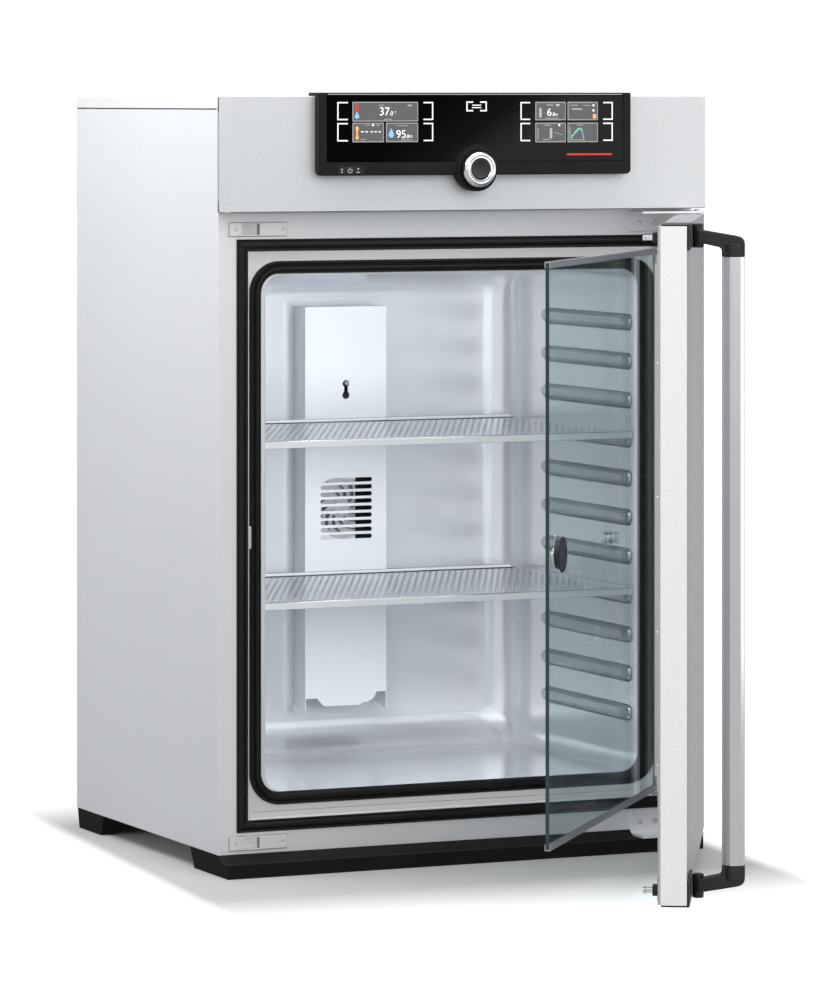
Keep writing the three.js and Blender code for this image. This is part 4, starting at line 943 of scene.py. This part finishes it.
# handle
(HX0, HX1), (HY0, HY1), (HZ0, HZ1) = span("handle_tube", DOOR)
hx, hy, hr = mid((HX0, HX1)), mid((HY0, HY1)), (HX1 - HX0) / 2
tube = lathe([(hr - 2.1, HZ0), (hr - 0.6, HZ0), (hr - 0.15, HZ0 + 0.2), (hr, HZ0 + 0.7), (hr, HZ0 + 200), (hr, (HZ0 + HZ1) / 2), (hr, HZ1 - 200), (hr, HZ1 - 0.7), (hr - 0.15, HZ1 - 0.2), (hr - 0.6, HZ1), (hr - 2.1, HZ1)], 96, axis_at(hx, hy, 0, (0, 0, 1)), closed=True)
piece("handle_bar", tube, "alu", "handle", DOOR, slot="satin_aluminium", replaces=("handle_tube",), angle=40)
HANDLE_J = DOOR.inverted() @ Vector(JOINT["handle_turn"]["pos_m"])
bx, by = HANDLE_J.x / MM, HANDLE_J.y / MM
for tag, sign in (("upper", 1), ("lower", -1)):
    (QX0, QX1), (QY0, QY1), (QZ0, QZ1) = span(tag + "_handle_arm", DOOR)
    prof = [(-52, 878.4), (-59, 878.6), (-100, 871.6), (-105.5, 870.2), (-109.3, 867.8), (-111.2, 864.6), (-111.7, 860.5), (-111.7, 845.2), (-82.3, 845.2), (-82.3, 852.6), (-81.4, 855.2), (-79.2, 857.0), (-59, 861.4), (-52, 861.4)]
    if sign < 0:
        prof = [(a, 915 - b) for a, b in prof][::-1]
    z_lo, z_hi = (856.2, 887.0) if sign > 0 else (28.0, 58.8)
    zt0, zt1 = (845.2, 863.0) if sign > 0 else (52.0, 69.8)
    arm = sheet([prof], 22.0, 1.5, side_plane(bx), 3)
    barrel = lathe([(0, z_lo), (5.9, z_lo), (6.9, z_lo + 0.5), (7.3, z_lo + 1.3), (7.3, z_lo + 9.0), (6.9, z_lo + 9.4), (6.9, z_lo + 9.9), (7.3, z_lo + 10.3), (7.3, z_hi - 1.3), (6.9, z_hi - 0.5), (5.9, z_hi), (0, z_hi)], 56, axis_at(bx, by, 0, (0, 0, 1)))
    e0, e1 = (0.2, 1.2) if sign > 0 else (1.2, 0.2)
    socket = lathe([(0, zt0), (14.0 - 0, zt0), (14.7, zt0 + e0), (14.75, zt0 + 2), (14.75, zt1 - 3), (14.2, zt1 - 1), (12.5, zt1), (0, zt1)], 72, axis_at(hx, hy, 0, (0, 0, 1)))
    piece(tag + "_handle_bracket", joined(arm, barrel, socket), "black", "handle", DOOR, slot="black_plastic", replaces=(tag + "_handle_arm",), angle=38)

# latch hooks: black hub, bright tongue; a collar round each opening in the door's inner sheet
for tag in ("upper", "lower"):
    j = DOOR.inverted() @ Vector(JOINT[tag + "_latch_turn"]["pos_m"])
    x, y, z = (c / MM for c in j)
    tongue = joined(block(x - 4.9, x + 4.9, y + 9, y + 30.6, z - 3.15, z + 3.15), block(x - 9.9, x - 4.7, y + 26.8, y + 30.6, z - 3.15, z + 3.15))
    piece(tag + "_latch_tongue", tongue, "chrome", tag + "_latch", DOOR, slot="bright_steel", bevel=0.7, segments=3)
    hub = joined(sheet([rrect(x - 6.4, x + 6.4, y - 6, y + 18.6, 2.0, 5)], 14.0, 1.6, flat_plane(z), 3),
                 lathe([(0, -7.9), (5.2, -7.9), (6.0, -7.2), (6.0, 7.2), (5.2, 7.9), (0, 7.9)], 40, axis_at(x, y, z, (0, 0, 1))))
    piece(tag + "_latch_hub", hub, "black", tag + "_latch", DOOR, slot="black_plastic", replaces=(tag + "_latch_hook",), angle=38)
    collar = sheet([rrect(-333.5, -290.5, z - 12.4, z + 12.4, 2.5, 5), rrect(-328, -296, z - 8.5, z + 8.5, 1.2, 4)], 1.7, 0.5, front_plane(DY1 + 0.7))
    piece(tag + "_latch_collar", collar, "black", "outer_door", DOOR, slot="black_plastic", angle=35)

# ------------------------------------------------------------------ glass door
(VX0, VX1), (VY0, VY1), (VZ0, VZ1) = span("glass_pane", GLASS)
pane = block(VX0, VX1, VY0, VY1, VZ0, VZ1)
ob = piece("door_glass_sheet", pane, ["glass", "glass_edge"], "glass_door", GLASS, slot="door_glass", replaces=("glass_pane",), bevel=0.0, weighted=False)
side_n = (GLASS.to_3x3() @ Vector((0, 1, 0))).normalized()
for p in ob.data.polygons:
    if abs(p.normal.dot(side_n)) < 0.5:
        p.material_index = 1
for tag in ("top", "bottom"):
    cad_copy("glass_%s_rail" % tag, "glass_%s_profile" % tag, "rail", "glass_door", GLASS, bevel=0.35, slot="bright_steel", angle=28)
gj = GLASS.inverted() @ Vector(JOINT["glass_door_hinge"]["pos_m"])
gx, gy = gj.x / MM, gj.y / MM
for tag, z0, z1 in (("upper", 815.4, 827.0), ("lower", 88.4, 99.6)):
    cone = [(2.6, z1 + 0.2), (2.6, z1 + 4.2), (1.6, z1 + 6)] if tag == "upper" else []
    prof = [(1.95, z0), (3.9, z0), (4.4, z0 + 0.5), (4.4, z1 - 0.5), (3.9, z1), (1.95, z1)]
    piece(tag + "_pivot_sleeve", lathe([(r + 0.12, z) for r, z in prof], 56, axis_at(gx, gy, 0, (0, 0, 1)), closed=True), "chrome", "glass_door", GLASS, slot="bright_steel", angle=35)
# knob on the glass, its spindle and tongue
piece("glass_knob", lathe([(0, -0.1), (17.4, -0.1), (18.6, 0.6), (18.8, 2.0), (18.8, 5.4), (19.6, 6.2), (22.4, 6.5), (23.3, 7.2), (23.3, 7.9), (22.6, 8.5), (0, 8.5)], 96, axis_at(lx, IY1, lz, (0, -1, 0))), "black", "glass_latch", GLASS, slot="black_plastic", replaces=("glass_latch_knob",), angle=35)
(WX0, WX1), (WY0, WY1), (WZ0, WZ1) = span("glass_latch_tongue", GLASS)
tongue = joined(lathe([(0, 0.35), (8.6, 0.35), (9.4, 0.9), (9.4, 3.6), (8.6, 4.1), (3.8, 4.1), (3.8, WY1 - 0.3), (3.4, WY1), (0, WY1)], 64, axis_at(lx, 0, lz, (0, 1, 0))),
                sheet([rrect(lx - 4.5, lx + 4.5, lz, WZ1, 2.0, 5)], 2.1, 0.4, front_plane(1.95)))
piece("glass_latch_finger", tongue, "chrome", "glass_latch", GLASS, slot="bright_steel", replaces=("glass_latch_tongue",), angle=35)


# ------------------------------------------------------------------ shelves
def shelf(name, node_name):
    """Perforated sheet with staggered round holes, a plain border, a folded front lip and a low upstand at the back."""
    (x0, x1), (y0, y1), (z0, z1) = span(node_name)
    top = z0 + 8.4 + 1.8
    px, cols, rows = 10.0, 53, 32
    ox, oy = -px * cols / 2, y0 + 14.0
    r, verts, faces, index = 2.5, [], [], {}

    def v(x, y):
        k = (round(x, 3), round(y, 3))
        if k not in index:
            index[k] = len(verts)
            verts.append((x, y, top))
        return index[k]

    for row in range(rows):
        ya, yb = oy + px * row, oy + px * (row + 1)
        shift = px / 2 if row % 2 else 0.0
        n_cols = cols - 1 if row % 2 else cols
        if shift:   # half cells close the ends of a shifted row
            for xa, xb in ((ox, ox + shift), (ox + px * cols - shift, ox + px * cols)):
                left = [v(xa, ya), v(xb, ya), v(xb, (ya + yb) / 2), v(xb, yb), v(xa, yb), v(xa, (ya + yb) / 2)]
                faces.append(tuple(left))
        for col in range(n_cols):
            xa = ox + shift + px * col
            xb, xm, ym = xa + px, xa + px / 2, (ya + yb) / 2
            rim = [v(xa, ya), v(xm, ya), v(xb, ya), v(xb, ym), v(xb, yb), v(xm, yb), v(xa, yb), v(xa, ym)]
            hole = []
            for i in range(8):
                a = math.radians(225 + 45 * i)
                hole.append(len(verts))
                verts.append((xm + r * math.cos(a), ym + r * math.sin(a), top))
            for i in range(8):
                j = (i + 1) % 8
                faces.append((rim[i], rim[j], hole[j], hole[i]))
    # border out to the sheet's edges
    X0, X1 = ox, ox + px * cols
    Y0, Y1 = oy, oy + px * rows
    xs = [X0 + px / 2 * i for i in range(2 * cols + 1)]
    ys = [Y0 + px / 2 * i for i in range(2 * rows + 1)]
    bot_a, bot_b = y0 + 2.4, y1 - 2.0
    faces.append(tuple([v(x, Y0) for x in xs][::-1] + [v(x0, Y0), v(x0, bot_a), v(x1, bot_a), v(x1, Y0)]))
    faces.append(tuple([v(x, Y1) for x in xs] + [v(x1, Y1), v(x1, bot_b), v(x0, bot_b), v(x0, Y1)]))
    faces.append(tuple([v(X0, y) for y in ys] + [v(x0, Y1), v(x0, Y0)]))
    faces.append(tuple([v(X1, y) for y in ys][::-1] + [v(x1, Y0), v(x1, Y1)]))
    # front lip: fold, then down
    lip = [(y0 + 2.4, top), (y0 + 1.1, top - 0.2), (y0 + 0.35, top - 0.7), (y0 + 0.1, top - 1.5), (y0 + 0.1, z0 + 0.05)]
    for (ya, za), (yb, zb) in zip(lip, lip[1:]):
        n = len(verts)
        verts.extend([(x0, ya, za), (x1, ya, za), (x1, yb, zb), (x0, yb, zb)])
        faces.append((n, n + 1, n + 2, n + 3))
    # rear upstand, cut slanting at its ends
    up = [(y1 - 2.0, top, 279.0), (y1 - 0.9, top + 0.2, 270.0), (y1 - 0.25, top + 0.9, 266.0), (y1 - 0.1, top + 2.0, 263.5), (y1 - 0.1, z1 - 0.1, 258.0)]
    for (ya, za, wa), (yb, zb, wb) in zip(up, up[1:]):
        n = len(verts)
        verts.extend([(-wa, ya, za), (wa, ya, za), (wb, yb, zb), (-wb, yb, zb)])
        faces.append((n, n + 1, n + 2, n + 3))
    me = raw(verts, faces)
    bm = bmesh.new()
    bm.from_mesh(me)
    bmesh.ops.remove_doubles(bm, verts=bm.verts, dist=2e-6)
    bmesh.ops.recalc_face_normals(bm, faces=bm.faces)
    big = max(bm.faces, key=lambda f: f.calc_area())
    if big.normal.z < 0:
        bmesh.ops.reverse_faces(bm, faces=bm.faces)
    bm.to_mesh(me)
    bm.free()
    ob = piece(name, me, "shelf", node_name, slot="chamber_steel", replaces=(node_name,), angle=40, weighted=False)
    s = ob.modifiers.new("thickness", "SOLIDIFY")
    s.thickness, s.offset = 1.1 * MM, -1.0
    s.use_even_offset = True
    return ob


shelf("upper_shelf_sheet", "upper_shelf")
shelf("lower_shelf_sheet", "lower_shelf")
for node_name in ("upper_shelf", "lower_shelf"):
    (x0, x1), (y0, y1), (z0, z1) = span(node_name)
    clips = []
    for s in (-1, 1):
        xe = x1 if s > 0 else x0
        clips.append(sheet([[(y0 + 0.4, z0 + 0.6), (y0 + 11, z0 + 8.0), (y0 + 11, z0 + 9.4), (y0 + 4, z0 + 9.9), (y0 + 0.4, z0 + 9.9)]], 1.0, 0.2, side_plane(xe - s * 0.55)))
    # the front lip takes the brighter, glowing copy of the shelf steel: painted light
    piece(node_name + "_lip", block(x0 + 0.4, x1 - 0.4, y0 - 0.25, y0 + 0.05, z0 + 0.3, z0 + 8.9), "shelf_lip", node_name, slot="chamber_steel")
    piece(node_name + "_rear_rib", sheet([[(-263, z0 + 11.4), (263, z0 + 11.4), (258.4, z1 - 0.4), (-258.4, z1 - 0.4)]], 0.5, 0.1, front_plane(y1 - 1.9)), "cover", node_name, slot="chamber_steel")
    piece(node_name + "_ends", joined(*clips), "shelf", node_name, slot="chamber_steel")

# ------------------------------------------------------------------ floor, light, camera
# studio floor with a painted shadow round the cabinet: from the camera, a diffuse floor darkened near the footprint
# plus an emission that rises to white away from it
floor = bpy.data.meshes.new("floor")
floor.from_pydata([(-40, -40, 0), (40, -40, 0), (40, 40, 0), (-40, 40, 0)], [], [(0, 1, 2, 3)])
floor_ob = bpy.data.objects.new("studio_floor", floor)
bpy.context.scene.collection.objects.link(floor_ob)
fm = bpy.data.materials.new("mat_floor")
fm.use_nodes = True
nt = fm.node_tree
nt.nodes.clear()
out = node(nt, "ShaderNodeOutputMaterial")
here = node(nt, "ShaderNodeTexCoord").outputs["Object"]
fleck = noise(nt, here, 6.0)
path = node(nt, "ShaderNodeLightPath")
seen = node(nt, "ShaderNodeBsdfDiffuse")
bounced = node(nt, "ShaderNodeBsdfDiffuse")
bounced.inputs["Color"].default_value = (0.22, 0.22, 0.225, 1)
sep = node(nt, "ShaderNodeSeparateXYZ")
link(nt, here, sep.inputs[0])
off = []
for axis, centre, half, steep in (("X", 0.0, 0.395, 8.0), ("Y", 0.17, 0.32, 1.0)):
    along = sep.outputs[axis]
    if axis == "X":   # the shadow leans to the left towards the front
        along = math_node(nt, "ADD", math_node(nt, "SUBTRACT", along, math_node(nt, "MULTIPLY", sep.outputs["Y"], 0.1)), 0.03)
    beyond = math_node(nt, "SUBTRACT", math_node(nt, "ABSOLUTE", math_node(nt, "SUBTRACT", along, centre)), half)
    off.append(math_node(nt, "POWER", math_node(nt, "MULTIPLY", math_node(nt, "MAXIMUM", beyond, 0.0), steep), 2.0))
away = math_node(nt, "SQRT", math_node(nt, "ADD", off[0], off[1]))
# painted shadow: the emission grows with the distance from the footprint
painted_glow = mapped(nt, away, 0.0, 1.0, 0.05, 0.5)
tone = node(nt, "ShaderNodeVectorMath")
tone.operation = "SCALE"
link(nt, ramp(nt, fleck, [(0.3, (0.605, 0.60, 0.592)), (0.7, (0.615, 0.61, 0.602))]), tone.inputs[0])
# painted shadow: the diffuse colour darkens towards the footprint
link(nt, mapped(nt, away, 0.84, 1.0, 0.0, 0.3), tone.inputs["Scale"])
link(nt, tone.outputs[0], seen.inputs["Color"])
emi = node(nt, "ShaderNodeEmission")
link(nt, painted_glow, emi.inputs["Strength"])
add = node(nt, "ShaderNodeAddShader")
link(nt, seen.outputs[0], add.inputs[0])
link(nt, emi.outputs[0], add.inputs[1])
# glossy rays see the floor glow, a little less near the cabinet: painted light in its reflections
reflection_glow = node(nt, "ShaderNodeEmission")
reflection_glow.inputs["Color"].default_value = (0.98, 0.99, 1.0, 1)
link(nt, mapped(nt, away, 0.34, 0.56, 0.0, 0.6), reflection_glow.inputs["Strength"])
other = node(nt, "ShaderNodeMixShader")
link(nt, path.outputs["Is Glossy Ray"], other.inputs[0])
link(nt, bounced.outputs[0], other.inputs[1])
link(nt, reflection_glow.outputs[0], other.inputs[2])
pick = node(nt, "ShaderNodeMixShader")
link(nt, path.outputs["Is Camera Ray"], pick.inputs[0])
link(nt, other.outputs[0], pick.inputs[1])
link(nt, add.outputs[0], pick.inputs[2])
link(nt, pick.outputs[0], out.inputs["Surface"])
floor.materials.append(fm)

world = bpy.data.worlds.new("studio")
bpy.context.scene.world = world
world.use_nodes = True
nt = world.node_tree
nt.nodes.clear()
out = node(nt, "ShaderNodeOutputWorld")
tc = node(nt, "ShaderNodeTexCoord")
sep = node(nt, "ShaderNodeSeparateXYZ")
link(nt, tc.outputs["Generated"], sep.inputs[0])
toward = math_node(nt, "ADD", math_node(nt, "MULTIPLY", sep.outputs["Y"], -1.0), math_node(nt, "MULTIPLY", sep.outputs["X"], 0.0))
front = mapped(nt, toward, 0.0, 1.0, -0.35, 0.75)
up = mapped(nt, sep.outputs["Z"], 0.0, 0.25, 0.0, 1.0)
sky = ramp(nt, math_node(nt, "ADD", front, up), [(0.0, (0.24, 0.245, 0.255)), (0.4, (0.42, 0.43, 0.44)), (1.0, (0.93, 0.94, 0.95))])
soft = node(nt, "ShaderNodeBackground")
link(nt, sky, soft.inputs["Color"])
soft.inputs["Strength"].default_value = 1.15
plain = node(nt, "ShaderNodeBackground")
plain.inputs["Color"].default_value = (1, 1, 1, 1)
plain.inputs["Strength"].default_value = 1.05
lp = node(nt, "ShaderNodeLightPath")
mixw = node(nt, "ShaderNodeMixShader")
link(nt, lp.outputs["Is Camera Ray"], mixw.inputs[0])
link(nt, soft.outputs[0], mixw.inputs[1])
link(nt, plain.outputs[0], mixw.inputs[2])
link(nt, mixw.outputs[0], out.inputs["Surface"])


def area(name, at, to, size, power, color=(1, 1, 1), size_y=None):
    l = bpy.data.lights.new(name, "AREA")
    l.shape, l.size = "RECTANGLE", size
    l.size_y = size_y or size
    l.energy, l.color = power, color
    ob = bpy.data.objects.new(name, l)
    ob.location = at
    ob.rotation_euler = (Vector(to) - Vector(at)).to_track_quat("-Z", "Y").to_euler()
    bpy.context.scene.collection.objects.link(ob)
    return ob


area("left_softbox", (-1.12, 0.10, 1.80), (-0.36, 0.28, 0.9), 1.2, 19.0, size_y=0.8)
area("right_softbox", (2.5, -1.0, 1.0), (0.1, -0.6, 0.50), 3.0, 22.0, (0.99, 0.995, 1.0), size_y=2.4)
area("overhead", (0.1, 0.1, 3.3), (0.1, 0.1, 0.0), 2.4, 34)
area("front_top", (0.9, -2.2, 2.5), (0.0, 0.3, 0.3), 1.7, 11, size_y=1.2)
# a soft light into the chamber only, standing in for the long bounce a bright steel box gives
inside = area("chamber_glow", (0.30, -1.3, 0.64), (-0.14, 0.4, 0.48), 0.5, 17.5, (0.985, 0.99, 1.0), size_y=0.7)
inside.visible_camera = False
# a soft light from the left for the door's folded edge
strip = area("door_edge_light", (-1.6, -2.6, 1.9), (0.15, -0.5, 0.6), 1.0, 17, size_y=0.8)
strip.visible_camera = False
edge_only = bpy.data.collections.new("lit_by_door_edge_light")
edge_only.objects.link(bpy.data.objects["door_pan"])
strip.light_linking.receiver_collection = edge_only
lit_only = bpy.data.collections.new("lit_by_chamber_glow")
for name in ("chamber_shell", "right_wall_beads", "left_wall_beads", "chamber_weld_lines", "fan_cover_sheet", "port_plug", "upper_shelf_rear_rib", "lower_shelf_rear_rib"):
    lit_only.objects.link(bpy.data.objects[name])
inside.light_linking.receiver_collection = lit_only
shade_only = bpy.data.collections.new("shading_chamber_glow")
for name in ("fan_cover_sheet", "upper_shelf_sheet", "lower_shelf_sheet"):
    shade_only.objects.link(bpy.data.objects[name])
inside.light_linking.blocker_collection = shade_only

cam = bpy.data.cameras.new("camera")
cam_ob = bpy.data.objects.new("camera", cam)
bpy.context.scene.collection.objects.link(cam_ob)
cam_ob.location = (-3.07814, -6.49064, 1.049)
cam_ob.rotation_euler = (math.radians(90), 0, math.radians(-24.03))
cam.sensor_width, cam.lens = 36, 188.38
cam.clip_start, cam.clip_end = 0.1, 200
bpy.context.scene.camera = cam_ob
# the lens is shifted only from the picture's own standpoint
for path_name, amount in (("shift_x", 0.07336), ("shift_y", -0.4037)):
    setattr(cam, path_name, amount)
    d = cam.driver_add(path_name).driver
    d.type = "SCRIPTED"
    var = d.variables.new()
    var.name, var.type = "x", "SINGLE_PROP"
    var.targets[0].id_type = "OBJECT"
    var.targets[0].id = cam_ob
    var.targets[0].data_path = "location[0]"
    d.expression = "%s if abs(x + 3.07814) < 0.0001 else 0" % amount

scene = bpy.context.scene
scene.view_settings.view_transform = "Standard"
scene.view_settings.look = "None"
scene.view_settings.exposure = 0.0
scene.view_settings.gamma = 1.0

bpy.context.view_layer.update()
